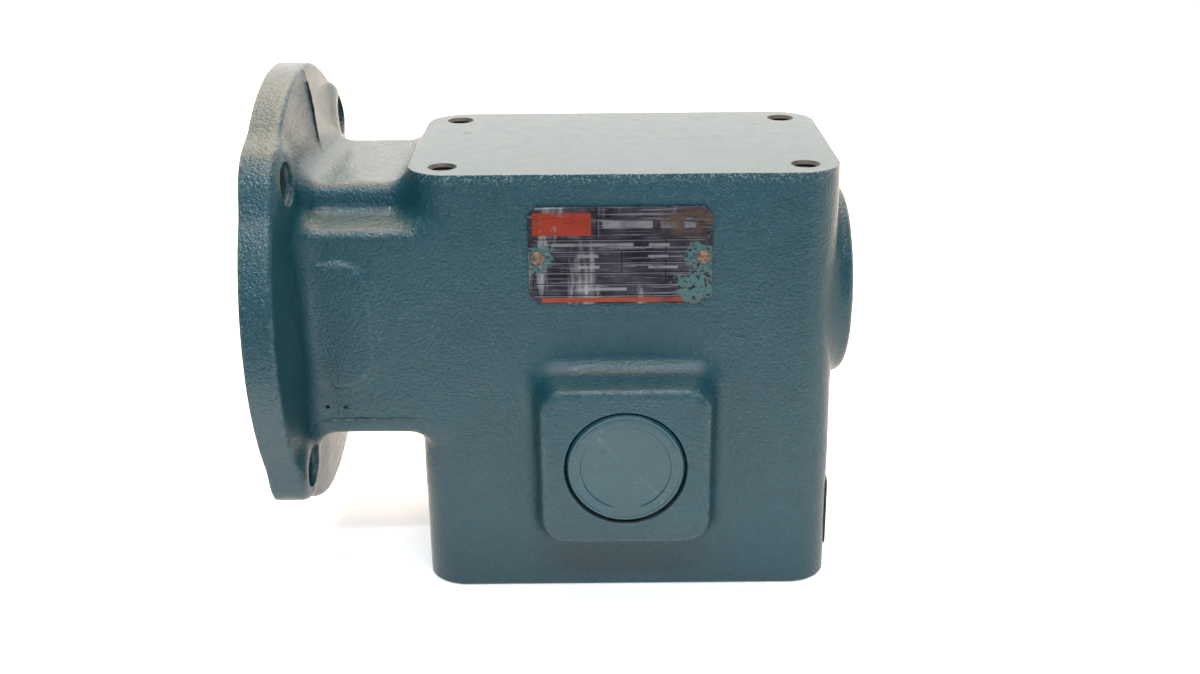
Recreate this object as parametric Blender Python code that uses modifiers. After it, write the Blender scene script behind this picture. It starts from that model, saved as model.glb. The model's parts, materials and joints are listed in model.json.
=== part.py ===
"""Right-angle worm gear speed reducer with a motor flange and a hollow input quill.

Frame: +Z up, origin on the base face, below the output axis and in the housing's middle plane.
The worm (input) axis runs along X, 50.8 mm above the wheel (output) axis, which runs along Y.
The motor flange is at -X, the output shaft leaves at +Y, the blank bearing pad is at -Y.
All driving dimensions below are in millimetres and are scaled to metres by MM.
"""

import math

import bmesh
import bpy
from mathutils import Matrix, Vector

MM = 0.001

# ---------------------------------------------------------------- driving dimensions
CENTRES = 50.8  # worm axis to wheel axis
Z_OUT = 56.0  # output axis above the base
Z_IN = Z_OUT + CENTRES  # worm axis above the base
HEIGHT = 160.7  # base face to top face
BODY_LEFT = -75.2
BODY_RIGHT_TOP = 75.4
BODY_RIGHT_BASE = 77.0  # the end wall has moulding draft
BODY_HALF_Y = 47.3
BODY_CORNER = 15.0
MOUNT_X = 63.0  # tapped holes, 3/8-16, on the top and on the base
MOUNT_Y = 35.75
TAP_R = 4.0
TAP_DEPTH = 16.0

FLANGE_FACE = -126.6
FLANGE_T = 10.7
FLANGE_R = 82.55  # 6.5 in flange
FLANGE_DRAFT = 3.4
FLANGE_DRAFT_RUN = 27.0
FLANGE_PCD_R = 74.6  # 5.875 in bolt circle
FLANGE_HOLE_R = 5.55
LUG_R = 11.5
SPOT_R = 10.0
PILOT_R = 57.15  # 4.5 in rabbet
PILOT_DEPTH = 5.0

NECK_Y = 47.2
NECK_LOW = Z_IN - 43.5
NECK_LEDGE = Z_IN + 33.6
NECK_UP_Y = 34.5
NECK_TOP = Z_IN + 47.6

PAD_FACE = -61.5
PAD_HALF = 30.0
PAD_ROOT = 33.5
PAD_CORNER = 9.0
REAR_BOSS_R = 35.9
REAR_BOSS_X = 82.9

BEARING_R = 31.0  # both worm bearings have 62 mm outer rings
FRONT_SHOULDER = -93.0
REAR_SHOULDER = 52.2
FIT = 0.3  # play left between pieces that touch

QUILL_R = 15.0
QUILL_BORE_R = 7.94  # 5/8 in motor shaft
QUILL_START = -121.0
QUILL_BORE_END = -63.0
KEYWAY_W = 4.76
KEYWAY_R = 10.3

SHAFT_R = 12.7  # 1 in output shaft
SHAFT_END = 119.0
GEAR_SEAT_R = 14.3
NEAR_JOURNAL_R = 9.525
KEY_W = 6.35

STARTS = 2
TEETH = 36
WORM_R = 12.7
WHEEL_R = CENTRES - WORM_R
MODULE = 2.0 * WHEEL_R / TEETH
PITCH = math.pi * MODULE
LEAD = STARTS * PITCH
PRESSURE = math.tan(math.radians(20.0))
WORM_TIP = WORM_R + MODULE
WORM_ROOT = WORM_R - 1.2 * MODULE
WORM_HALF_LENGTH = 23.0
WHEEL_HALF_WIDTH = 9.5
WHEEL_TIP = WHEEL_R + 1.5 * MODULE
FLANK_PLAY = 0.2
RIM_BORE_R = 28.3

OPENING_R = 43.6  # far side, where the wheel goes in
CARRIER_R = 55.0
CARRIER_BOLT_R = 49.5

# ---------------------------------------------------------------- scene and helpers
for old in list(bpy.data.objects):
    bpy.data.objects.remove(old, do_unlink=True)

parts = bpy.data.collections.new("right_angle_gearbox")
cutters = bpy.data.collections.new("cutters")
bpy.context.scene.collection.children.link(parts)
bpy.context.scene.collection.children.link(cutters)

AXES = {
    "X": (Matrix.Rotation(math.radians(90), 4, "Y"), (0.0, 0.0, Z_IN)),
    "Y": (Matrix.Rotation(math.radians(-90), 4, "X"), (0.0, 0.0, Z_OUT)),
    "Z": (Matrix.Identity(4), (0.0, 0.0, 0.0)),
}


def material(name, colour, roughness, metallic):
    made = bpy.data.materials.new(name)
    made.use_nodes = True
    shader = made.node_tree.nodes["Principled BSDF"]
    shader.inputs["Base Color"].default_value = (*colour, 1.0)
    shader.inputs["Roughness"].default_value = roughness
    shader.inputs["Metallic"].default_value = metallic
    made.diffuse_color = (*colour, 1.0)
    return made


PAINT = (0.035, 0.115, 0.14)
STEEL = (0.52, 0.52, 0.53)
BRIGHT = (0.66, 0.66, 0.67)
BRONZE = (0.62, 0.39, 0.16)
BLACK = (0.015, 0.015, 0.016)


def keep(obj, finish=None):
    """Puts an object in the parts, with a material of its own, or among the cutters if it has none."""
    if finish is None:
        cutters.objects.link(obj)
        obj.hide_render = True
        obj.display_type = "WIRE"
        return obj
    parts.objects.link(obj)
    colour, roughness, metallic = finish
    obj.data.materials.append(material(obj.name + "_finish", colour, roughness, metallic))
    if obj.type == "MESH":
        obj.data.shade_smooth()
        obj.data.set_sharp_from_angle(angle=math.radians(32))
    return obj


def object_of(name, bm, finish=None):
    bmesh.ops.recalc_face_normals(bm, faces=bm.faces)
    mesh = bpy.data.meshes.new(name)
    bm.to_mesh(mesh)
    bm.free()
    return keep(bpy.data.objects.new(name, mesh), finish)


def cube(low, high):
    """A box between two corners, in millimetres, as a bmesh in metres."""
    bm = bmesh.new()
    bmesh.ops.create_cube(bm, size=1.0)
    low, high = Vector(low) * MM, Vector(high) * MM
    size = high - low
    for vert in bm.verts:
        vert.co = low + Vector((vert.co[i] + 0.5) * size[i] for i in range(3))
    return bm


def round_edges(bm, along, radius, segments, where=lambda middle: True):
    """Bevels the edges that run along one axis."""
    chosen = []
    for edge in bm.edges:
        direction = (edge.verts[0].co - edge.verts[1].co).normalized()
        if abs(direction[along]) > 0.9 and where((edge.verts[0].co + edge.verts[1].co) / 2):
            chosen.append(edge)
    bmesh.ops.bevel(
        bm, geom=chosen, offset=radius * MM, segments=segments, profile=0.5, affect="EDGES"
    )


def box(name, low, high, finish=None):
    return object_of(name, cube(low, high), finish)


def rod(name, axis, at, start, end, radius, segments=48, finish=None, radius_end=None):
    """A cylinder or cone along an axis. at gives its two other coordinates, in X, Y, Z order."""
    bm = bmesh.new()
    bmesh.ops.create_cone(
        bm,
        cap_ends=True,
        segments=segments,
        radius1=radius * MM,
        radius2=(radius if radius_end is None else radius_end) * MM,
        depth=abs(end - start) * MM,
    )
    turn = AXES[axis][0]
    middle = (start + end) / 2
    place = {
        "X": Vector((middle, at[0], at[1])),
        "Y": Vector((at[0], middle, at[1])),
        "Z": Vector((at[0], at[1], middle)),
    }[axis]
    bmesh.ops.transform(bm, matrix=Matrix.Translation(place * MM) @ turn, verts=bm.verts)
    return object_of(name, bm, finish)


def turned(name, axis, profile, finish=None, steps=32, at=None):
    """A turned piece: a profile of (radius, distance along the axis) points with a Screw modifier."""
    open_ends = profile[0][0] == 0 and profile[-1][0] == 0
    area = sum(
        a[0] * b[1] - b[0] * a[1] for a, b in zip(profile, profile[1:] + profile[:1])
    )
    if area > 0:
        profile = profile[::-1]
    mesh = bpy.data.meshes.new(name)
    count = len(profile)
    edges = [(i, i + 1) for i in range(count - 1)] + ([] if open_ends else [(count - 1, 0)])
    mesh.from_pydata([(r * MM, 0.0, a * MM) for r, a in profile], edges, [])
    obj = bpy.data.objects.new(name, mesh)
    turn, origin = AXES[axis]
    obj.matrix_world = Matrix.Translation(Vector(at or origin) * MM) @ turn
    screw = obj.modifiers.new("turn", "SCREW")
    screw.axis = "Z"
    screw.angle = 2 * math.pi
    screw.steps = screw.render_steps = steps
    screw.use_merge_vertices = True
    screw.merge_threshold = 0.00001
    screw.use_normal_calculate = False
    keep(obj, finish)
    return flat_ended(obj) if open_ends else obj


def flat_ended(obj):
    """Applies a turned solid's Screw and joins each flat end's wedges into one face, so that it cuts cleanly."""
    bpy.context.view_layer.update()
    graph = bpy.context.evaluated_depsgraph_get()
    mesh = bpy.data.meshes.new_from_object(obj.evaluated_get(graph))
    bm = bmesh.new()
    bm.from_mesh(mesh)
    bmesh.ops.remove_doubles(bm, verts=bm.verts, dist=0.000002)
    bmesh.ops.dissolve_limit(bm, angle_limit=0.002, verts=bm.verts, edges=bm.edges)
    bm.to_mesh(mesh)
    bm.free()
    obj.modifiers.clear()
    obj.data = mesh
    return obj


def combine(obj, other, operation):
    modifier = obj.modifiers.new(other.name, "BOOLEAN")
    modifier.operation = operation
    modifier.solver = "EXACT"
    modifier.object = other
    return obj


def cut(obj, *others):
    for other in others:
        combine(obj, other, "DIFFERENCE")
    return obj


def join(obj, *others):
    for other in others:
        combine(obj, other, "UNION")
    return obj


def child_of(obj, parent):
    """Hangs a piece on the one that carries it, so that its parent's origin is on the joint's axis."""
    bpy.context.view_layer.update()
    obj.parent = parent
    obj.matrix_parent_inverse = parent.matrix_world.inverted()


def around(count, radius, phase=0.0):
    return [
        (
            radius * math.cos(phase + 2 * math.pi * i / count),
            radius * math.sin(phase + 2 * math.pi * i / count),
        )
        for i in range(count)
    ]


def many(name, bms):
    """Several closed bodies as one mesh, to cut or join with in one step."""
    whole = bmesh.new()
    for bm in bms:
        scratch = bpy.data.meshes.new("scratch")
        bmesh.ops.recalc_face_normals(bm, faces=bm.faces)
        bm.to_mesh(scratch)
        bm.free()
        whole.from_mesh(scratch)
        bpy.data.meshes.remove(scratch)
    mesh = bpy.data.meshes.new(name)
    whole.to_mesh(mesh)
    whole.free()
    return keep(bpy.data.objects.new(name, mesh))


def cylinder_bm(axis, at, start, end, radius, segments):
    bm = bmesh.new()
    bmesh.ops.create_cone(
        bm,
        cap_ends=True,
        segments=segments,
        radius1=radius * MM,
        radius2=radius * MM,
        depth=abs(end - start) * MM,
    )
    middle = (start + end) / 2
    place = {
        "X": Vector((middle, at[0], at[1])),
        "Y": Vector((at[0], middle, at[1])),
        "Z": Vector((at[0], at[1], middle)),
    }[axis]
    bmesh.ops.transform(
        bm, matrix=Matrix.Translation(place * MM) @ AXES[axis][0], verts=bm.verts
    )
    return bm


def tapered_box(low, high, axis, grow):
    """A box whose low end, along one axis, is wider by grow = ((low, high), (low, high)) on the other two."""
    bm = cube(low, high)
    others = [i for i in range(3) if i != axis]
    limit = (low[axis] + high[axis]) / 2 * MM
    for vert in bm.verts:
        if vert.co[axis] < limit:
            for other, (down, up) in zip(others, grow):
                middle = (low[other] + high[other]) / 2 * MM
                vert.co[other] += (up if vert.co[other] > middle else -down) * MM
    return bm


# ---------------------------------------------------------------- housing
bm = cube((BODY_LEFT, -BODY_HALF_Y, 0), (BODY_RIGHT_TOP, BODY_HALF_Y, HEIGHT))
round_edges(bm, 2, BODY_CORNER, 5)
for vert in bm.verts:
    if vert.co.x > 0:
        vert.co.x += (BODY_RIGHT_BASE - BODY_RIGHT_TOP) * MM * (1 - vert.co.z / (HEIGHT * MM))
housing = object_of("housing", bm, (PAINT, 0.42, 0.0))

bm = cube((FLANGE_FACE + 6, -NECK_Y, NECK_LOW), (-60, NECK_Y, NECK_LEDGE))
round_edges(bm, 0, 4.0, 2)
neck_lower = object_of("neck_lower", bm)
# The ledge along each side of the neck rises towards the narrower upper part.
bm = cube((FLANGE_FACE + 6.2, -NECK_Y + 0.4, NECK_LEDGE - 2), (-60.2, NECK_Y - 0.4, NECK_LEDGE + 5))
for vert in bm.verts:
    if vert.co.z > NECK_LEDGE * MM:
        vert.co.y *= (NECK_UP_Y + 0.9) / (NECK_Y - 0.4)
neck_shoulder = object_of("neck_shoulder", bm)
bm = cube((FLANGE_FACE + 6.1, -NECK_UP_Y, NECK_LEDGE - 12), (-60.1, NECK_UP_Y, NECK_TOP))
round_edges(bm, 0, 4.0, 2)
neck_upper = object_of("neck_upper", bm)

flange_back = FLANGE_FACE + FLANGE_T
flare_lower = object_of(
    "flare_lower",
    tapered_box(
        (flange_back - 1, -NECK_Y + 0.3, NECK_LOW + 0.3),
        (flange_back + 8, NECK_Y - 0.3, NECK_LEDGE - 0.3),
        0,
        ((7.0, 7.0), (7.0, 6.0)),
    ),
)
flare_upper = object_of(
    "flare_upper",
    tapered_box(
        (flange_back - 1.1, -NECK_UP_Y + 0.3, NECK_LEDGE - 10),
        (flange_back + 8.1, NECK_UP_Y - 0.3, NECK_TOP - 0.3),
        0,
        ((7.0, 7.0), (0.0, 7.0)),
    ),
)
# The back of the flange thickens towards the neck, as a casting's does.
flange = turned(
    "flange_disc",
    "X",
    [
        (0, FLANGE_FACE),
        (FLANGE_R, FLANGE_FACE),
        (FLANGE_R, flange_back),
        (FLANGE_R - FLANGE_DRAFT_RUN, flange_back + FLANGE_DRAFT),
        (0, flange_back + FLANGE_DRAFT),
    ],
    steps=56,
)
bolt_spots = [(y, Z_IN + z) for y, z in around(4, FLANGE_PCD_R, math.pi / 4)]
lugs = many(
    "flange_lugs",
    [cylinder_bm("X", spot, FLANGE_FACE + 0.05, flange_back - 0.05, LUG_R, 20) for spot in bolt_spots],
)

bm = cube((-PAD_ROOT, PAD_FACE, Z_OUT - PAD_ROOT), (PAD_ROOT, -BODY_HALF_Y + 5, Z_OUT + PAD_ROOT))
for vert in bm.verts:
    if vert.co.y < -BODY_HALF_Y * MM:
        vert.co.x *= PAD_HALF / PAD_ROOT
        vert.co.z = Z_OUT * MM + (vert.co.z - Z_OUT * MM) * PAD_HALF / PAD_ROOT
round_edges(bm, 1, PAD_CORNER, 3)
pad = object_of("near_pad", bm)

rear_boss = turned(
    "rear_boss",
    "X",
    [(0, 58), (REAR_BOSS_R, 58), (REAR_BOSS_R, REAR_BOSS_X - 2), (REAR_BOSS_R - 2, REAR_BOSS_X), (0, REAR_BOSS_X)],
    steps=48,
)
join(housing, neck_lower, neck_shoulder, neck_upper, flare_lower, flare_upper, flange, lugs, pad, rear_boss)

# The inside: an open chamber for the wheel and the worm, left solid round the bearings and tapped holes.
cut(
    housing,
    box("chamber", (-52, -37, 8), (47, 33, 152)),
    box("chamber_low", (-67, -25, 9), (67, 24.5, 68)),
    box("chamber_left", (-66.5, -24.5, 60), (-10, 24, 151)),
    turned(
        "front_bore",
        "X",
        [
            (0, FLANGE_FACE - 2),
            (PILOT_R, FLANGE_FACE - 2),
            (PILOT_R, FLANGE_FACE + PILOT_DEPTH),
            (BEARING_R, FLANGE_FACE + PILOT_DEPTH),
            (BEARING_R, -112.0),
            (BEARING_R + 1.9, -112.0),
            (BEARING_R + 1.9, -109.8),
            (BEARING_R, -109.8),
            (BEARING_R, FRONT_SHOULDER),
            (26.0, FRONT_SHOULDER),
            (26.0, -60),
            (0, -60),
        ],
        steps=32,
    ),
    turned(
        "rear_bore",
        "X",
        [
            (0, 40),
            (26.0, 40),
            (26.0, REAR_SHOULDER),
            (BEARING_R, REAR_SHOULDER),
            (BEARING_R, 69.9),
            (BEARING_R + 1.9, 69.9),
            (BEARING_R + 1.9, 72.1),
            (BEARING_R, 72.1),
            (BEARING_R, 90),
            (0, 90),
        ],
        steps=32,
    ),
    turned(
        "near_bore",
        "Y",
        [
            (0, PAD_FACE - 4),
            (21.75, PAD_FACE - 4),
            (21.75, -55.6),
            (18.5, -55.6),
            (18.5, -52.5),
            (22.9, -52.5),
            (22.9, -30),
            (0, -30),
        ],
        steps=32,
    ),
    rod("far_opening", "Y", (0, Z_OUT), 28, 60, OPENING_R, 40),
)
cut(
    housing,
    many(
        "flange_bolt_holes",
        [cylinder_bm("X", spot, FLANGE_FACE - 3, flange_back + 3, FLANGE_HOLE_R, 14) for spot in bolt_spots],
    ),
    many(
        "flange_spot_faces",
        [cylinder_bm("X", spot, flange_back - 0.2, flange_back + 16, SPOT_R, 16) for spot in bolt_spots],
    ),
    many(
        "tapped_holes",
        [
            cylinder_bm("Z", (x, y), low, high, TAP_R, 12)
            for x in (-MOUNT_X, MOUNT_X)
            for y in (-MOUNT_Y, MOUNT_Y)
            for low, high in ((-4, TAP_DEPTH), (HEIGHT - TAP_DEPTH, HEIGHT + 4))
        ],
    ),
    many(
        "carrier_tapped_holes",
        [cylinder_bm("Y", (x, Z_OUT + z), 36.5, 52, 3.3, 10) for x, z in around(6, CARRIER_BOLT_R)],
    ),
    many(
        "plate_screw_holes",
        [cylinder_bm("Y", (x, Z_IN + 24.5), -52, -41, 1.4, 8) for x in (-30.4, 27.4)],
    ),
)

# ---------------------------------------------------------------- worm axis
worm_shaft = turned(
    "worm_shaft",
    "X",
    [
        (0, QUILL_START),
        (QUILL_R - 0.8, QUILL_START),
        (QUILL_R, QUILL_START + 0.8),
        (QUILL_R, -92.9),
        (19.5, -92.9),
        (19.5, -87.0),
        (QUILL_R, -85.0),
        (QUILL_R, -30.0),
        (9.6, -26.0),
        (9.6, 26.0),
        (QUILL_R, 29.0),
        (QUILL_R, 52.4),
        (12.5, 52.4),
        (12.5, 69.9),
        (11.7, 69.9),
        (11.7, 71.5),
        (12.5, 71.5),
        (12.5, 73.0),
        (11.7, 73.8),
        (0, 73.8),
    ],
    (STEEL, 0.3, 1.0),
    steps=24,
)


def thread_half_width(radius):
    """Half the thread's thickness along the worm's axis at a radius."""
    return PITCH / 4 - (radius - WORM_R) * PRESSURE


def worm_section():
    """The worm's section square to its axis: a closed outline of radius against angle, one lobe per start."""
    outline = []
    for start in range(STARTS):
        centre = -math.pi / 2 + 2 * math.pi * start / STARTS
        lobe = [(WORM_TIP, 0.0)]
        for share in (0.0, 0.45, 1.0):
            radius = WORM_TIP + (WORM_ROOT - WORM_TIP) * share
            lobe.append((radius, thread_half_width(radius)))
        for radius, half in lobe[:0:-1]:
            outline.append((radius, centre - 2 * math.pi * half / LEAD))
        for radius, half in lobe:
            outline.append((radius, centre + 2 * math.pi * half / LEAD))
    return outline


# The thread is that section swept with a Screw, one turn for each lead. Its ends are then filled.
# Seen along the worm's axis the sweep starts turned back by half the thread's length.
thread_length = 2 * WORM_HALF_LENGTH
thread_turn = 2 * math.pi * thread_length / LEAD
mesh = bpy.data.meshes.new("worm_thread_section")
# In the turned frame local X is world -Z and local Y is world Y.
section = [
    (angle - thread_turn / 2, radius) for radius, angle in worm_section()
]
corners = [(radius * math.cos(a), radius * math.sin(a)) for a, radius in section]
mesh.from_pydata(
    [(-z * MM, y * MM, -WORM_HALF_LENGTH * MM) for y, z in corners],
    [(i, (i + 1) % len(corners)) for i in range(len(corners))],
    [],
)
swept = bpy.data.objects.new("worm_thread_section", mesh)
swept.matrix_world = Matrix.Translation(Vector((0, 0, Z_IN)) * MM) @ AXES["X"][0]
keep(swept)
screw = swept.modifiers.new("lead", "SCREW")
screw.axis = "Z"
screw.angle = thread_turn
screw.screw_offset = thread_length * MM
screw.steps = screw.render_steps = int(round(16 * thread_length / LEAD))
screw.use_normal_calculate = False
bpy.context.view_layer.update()
evaluated = swept.evaluated_get(bpy.context.evaluated_depsgraph_get())
bm = bmesh.new()
bm.from_mesh(evaluated.data)
bmesh.ops.holes_fill(bm, edges=[edge for edge in bm.edges if edge.is_boundary], sides=0)
thread = object_of("worm_thread", bm)
thread.matrix_world = swept.matrix_world.copy()
bpy.data.objects.remove(swept, do_unlink=True)
join(worm_shaft, thread)
cut(
    worm_shaft,
    rod("quill_bore", "X", (0, Z_IN), QUILL_START - 3, QUILL_BORE_END, QUILL_BORE_R, 24),
    box(
        "quill_keyway",
        (QUILL_START - 3, -KEYWAY_W / 2, Z_IN),
        (-75, KEYWAY_W / 2, Z_IN + KEYWAY_R),
    ),
)


def ball_bearing(prefix, start, width, bore, outer, pitch, ball, count):
    """A deep-groove ball bearing on the worm axis: outer ring, inner ring, and the caged balls."""
    middle = start + width / 2
    half = width / 2
    groove = ball + 0.7
    for label, wall, side in (("outer_ring", outer, 1), ("inner_ring", bore, -1)):
        land = pitch + side * 0.56 * ball
        edge = math.acos(0.56 * ball / groove)
        path = [(wall, middle - half), (wall, middle + half), (land, middle + half)]
        for angle in (edge, math.radians(22), -math.radians(22), -edge):
            path.append(
                (pitch + side * groove * math.cos(angle), middle + groove * math.sin(angle))
            )
        path.append((land, middle - half))
        turned(prefix + "_" + label, "X", path, (BRIGHT, 0.22, 1.0), steps=26)
    cage = turned(
        prefix + "_caged_balls",
        "X",
        [
            (pitch - 0.7, middle - ball * 0.8),
            (pitch + 0.7, middle - ball * 0.8),
            (pitch + 0.7, middle + ball * 0.8),
            (pitch - 0.7, middle + ball * 0.8),
        ],
        (BRIGHT, 0.18, 1.0),
        steps=18,
    )
    balls = []
    for y, z in around(count, pitch, 0.05):
        bm = bmesh.new()
        bmesh.ops.create_uvsphere(bm, u_segments=7, v_segments=5, radius=ball * MM)
        bmesh.ops.transform(
            bm,
            matrix=Matrix.Translation(Vector((middle, y, Z_IN + z)) * MM) @ AXES["X"][0],
            verts=bm.verts,
        )
        balls.append(bm)
    join(cage, many(prefix + "_balls", balls))
    return cage


ball_bearing("input_bearing", -109.3, 16.0, QUILL_R + FIT, BEARING_R - FIT, 23.0, 4.76, 9)
ball_bearing("rear_bearing", 52.7, 17.0, 12.5 + FIT, BEARING_R - FIT, 21.75, 5.75, 7)


def retaining_ring(name, start, thick, inner, outer):
    """A C-shaped ring: turned, then opened at the bottom."""
    ring = turned(
        name,
        "X",
        [(inner, start), (outer, start), (outer, start + thick), (inner, start + thick)],
        (STEEL, 0.35, 1.0),
        steps=28,
    )
    cut(
        ring,
        box(name + "_gap", (start - 1, -5, Z_IN - outer - 3), (start + thick + 1, 5, Z_IN - inner + 3)),
    )
    return ring


retaining_ring("input_retaining_ring", -111.7, 1.7, 27.3, 32.5)
retaining_ring("rear_retaining_ring", 70.2, 1.7, 27.0, 32.5)
retaining_ring("shaft_retaining_ring", 70.1, 1.2, 12.0, 15.6)


def seal(name, axis, face, inward, outer, shaft):
    """A lip seal: a rubber-covered case open to the inside, with the lip against the shaft."""
    s = inward
    return turned(
        name,
        axis,
        [
            (outer, face),
            (outer, face + s * 7.6),
            (outer - 2.0, face + s * 7.6),
            (outer - 2.0, face + s * 2.0),
            (shaft + 4.0, face + s * 2.0),
            (shaft + 2.4, face + s * 6.4),
            (shaft + 0.2, face + s * 5.4),
            (shaft + 2.0, face),
        ],
        (BLACK, 0.55, 0.0),
        steps=24,
    )


seal("input_oil_seal", "X", -120.3, 1, BEARING_R - FIT, QUILL_R)

turned(
    "rear_bore_plug",
    "X",
    [
        (0, 76.6),
        (28.0, 76.6),
        (28.0, 73.6),
        (30.7, 73.6),
        (30.7, 79.8),
        (30.0, 80.5),
        (0, 80.5),
    ],
    (PAINT, 0.42, 0.0),
    steps=36,
)

# ---------------------------------------------------------------- output axis
output_shaft = turned(
    "output_shaft",
    "Y",
    [
        (0, -52.0),
        (NEAR_JOURNAL_R - 0.6, -52.0),
        (NEAR_JOURNAL_R, -51.4),
        (NEAR_JOURNAL_R, -34.0),
        (GEAR_SEAT_R, -34.0),
        (GEAR_SEAT_R, 14.0),
        (18.0, 14.0),
        (18.0, 19.0),
        (SHAFT_R, 19.0),
        (SHAFT_R, SHAFT_END - 1.2),
        (SHAFT_R - 1.2, SHAFT_END),
        (0, SHAFT_END),
    ],
    (STEEL, 0.3, 1.0),
    steps=28,
)
cut(
    output_shaft,
    box(
        "gear_key_seat",
        (-KEY_W / 2, -11.5, Z_OUT + 11.1),
        (KEY_W / 2, 11.5, Z_OUT + 20),
    ),
    box(
        "output_key_seat",
        (-KEY_W / 2, 68.0, Z_OUT + 9.5),
        (KEY_W / 2, 117.0, Z_OUT + 20),
    ),
)
gear_key = box(
    "gear_key",
    (-KEY_W / 2 + 0.15, -11.2, Z_OUT + 11.4),
    (KEY_W / 2 - 0.15, 11.2, Z_OUT + 17.4),
    (STEEL, 0.4, 1.0),
)
output_key = box(
    "output_key",
    (-KEY_W / 2 + 0.15, 68.3, Z_OUT + 9.8),
    (KEY_W / 2 - 0.15, 116.7, Z_OUT + 15.9),
    (STEEL, 0.4, 1.0),
)

gear_hub = turned(
    "worm_gear_hub",
    "Y",
    [
        (GEAR_SEAT_R + FIT, -13.6),
        (21.5, -13.6),
        (21.5, -7.5),
        (RIM_BORE_R - 0.3, -7.5),
        (RIM_BORE_R - 0.3, 7.5),
        (21.5, 7.5),
        (21.5, 13.6),
        (GEAR_SEAT_R + FIT, 13.6),
    ],
    ((0.16, 0.16, 0.17), 0.5, 1.0),
    steps=28,
)
cut(
    gear_hub,
    box(
        "hub_keyway",
        (-KEY_W / 2, -15, Z_OUT + 8),
        (KEY_W / 2, 15, Z_OUT + 17.7),
    ),
)


def tooth_space(y, radius):
    """The angles, in the wheel's own frame, that one worm thread sweeps at a slice and a radius.

    The wheel turns by beta while the thread moves along by WHEEL_R * beta. Each point of the wheel
    is followed past the thread, and the widest angles that the thread covers bound the tooth space.
    """
    reach = WORM_TIP + 0.45
    low, high = 1e9, -1e9
    for turn in range(-44, 45):
        beta = math.radians(turn * 0.5)
        for step in range(-100, 101):
            angle = math.radians(step * 0.22)
            drop = CENTRES - radius * math.cos(angle)
            distance = math.hypot(y, drop)
            if distance > reach:
                continue
            centre = LEAD / (2 * math.pi) * math.atan2(y, drop) + WHEEL_R * beta
            if abs(radius * math.sin(angle) - centre) < thread_half_width(distance) + FLANK_PLAY:
                low = min(low, angle - beta)
                high = max(high, angle - beta)
    return low, high


def wheel_slice(y):
    """One slice of the toothed rim: points of (angle, radius), six to a tooth."""
    root = CENTRES - math.sqrt((WORM_TIP + 0.45) ** 2 - y * y)
    throat = (WORM_ROOT + 0.45) ** 2 - y * y
    tip = min(WHEEL_TIP, CENTRES - math.sqrt(throat) if throat > 0 else WHEEL_TIP)
    levels = [root + 0.15, (root + tip) / 2, tip]
    spaces = [tooth_space(y, radius) for radius in levels]
    levels[0] = root
    outline = []
    for tooth in range(TEETH):
        turn = 2 * math.pi * tooth / TEETH
        step = 2 * math.pi / TEETH
        outline.append((turn + spaces[0][0], levels[0]))
        for (_, high), radius in zip(spaces, levels):
            outline.append((turn + high, radius))
        for (low, _), radius in list(zip(spaces, levels))[:0:-1]:
            outline.append((turn + step + low, radius))
    return outline


bm = bmesh.new()
slices = []
for share in (-1.0, -0.36, 0.36, 1.0):
    y = WHEEL_HALF_WIDTH * share
    slices.append(
        [
            bm.verts.new((radius * math.sin(a) * MM, y * MM, radius * math.cos(a) * MM))
            for a, radius in wheel_slice(y)
        ]
    )
count = len(slices[0])
for lower, upper in zip(slices, slices[1:]):
    for i in range(count):
        j = (i + 1) % count
        bm.faces.new((lower[i], lower[j], upper[j], upper[i]))
bm.faces.new(slices[0])
bm.faces.new(slices[-1][::-1])
gear_rim = object_of("worm_gear_rim", bm, (BRONZE, 0.32, 1.0))
gear_rim.location = (0, 0, Z_OUT * MM)
cut(gear_rim, rod("rim_bore", "Y", (0, Z_OUT), -20, 20, RIM_BORE_R, 28))


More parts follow.
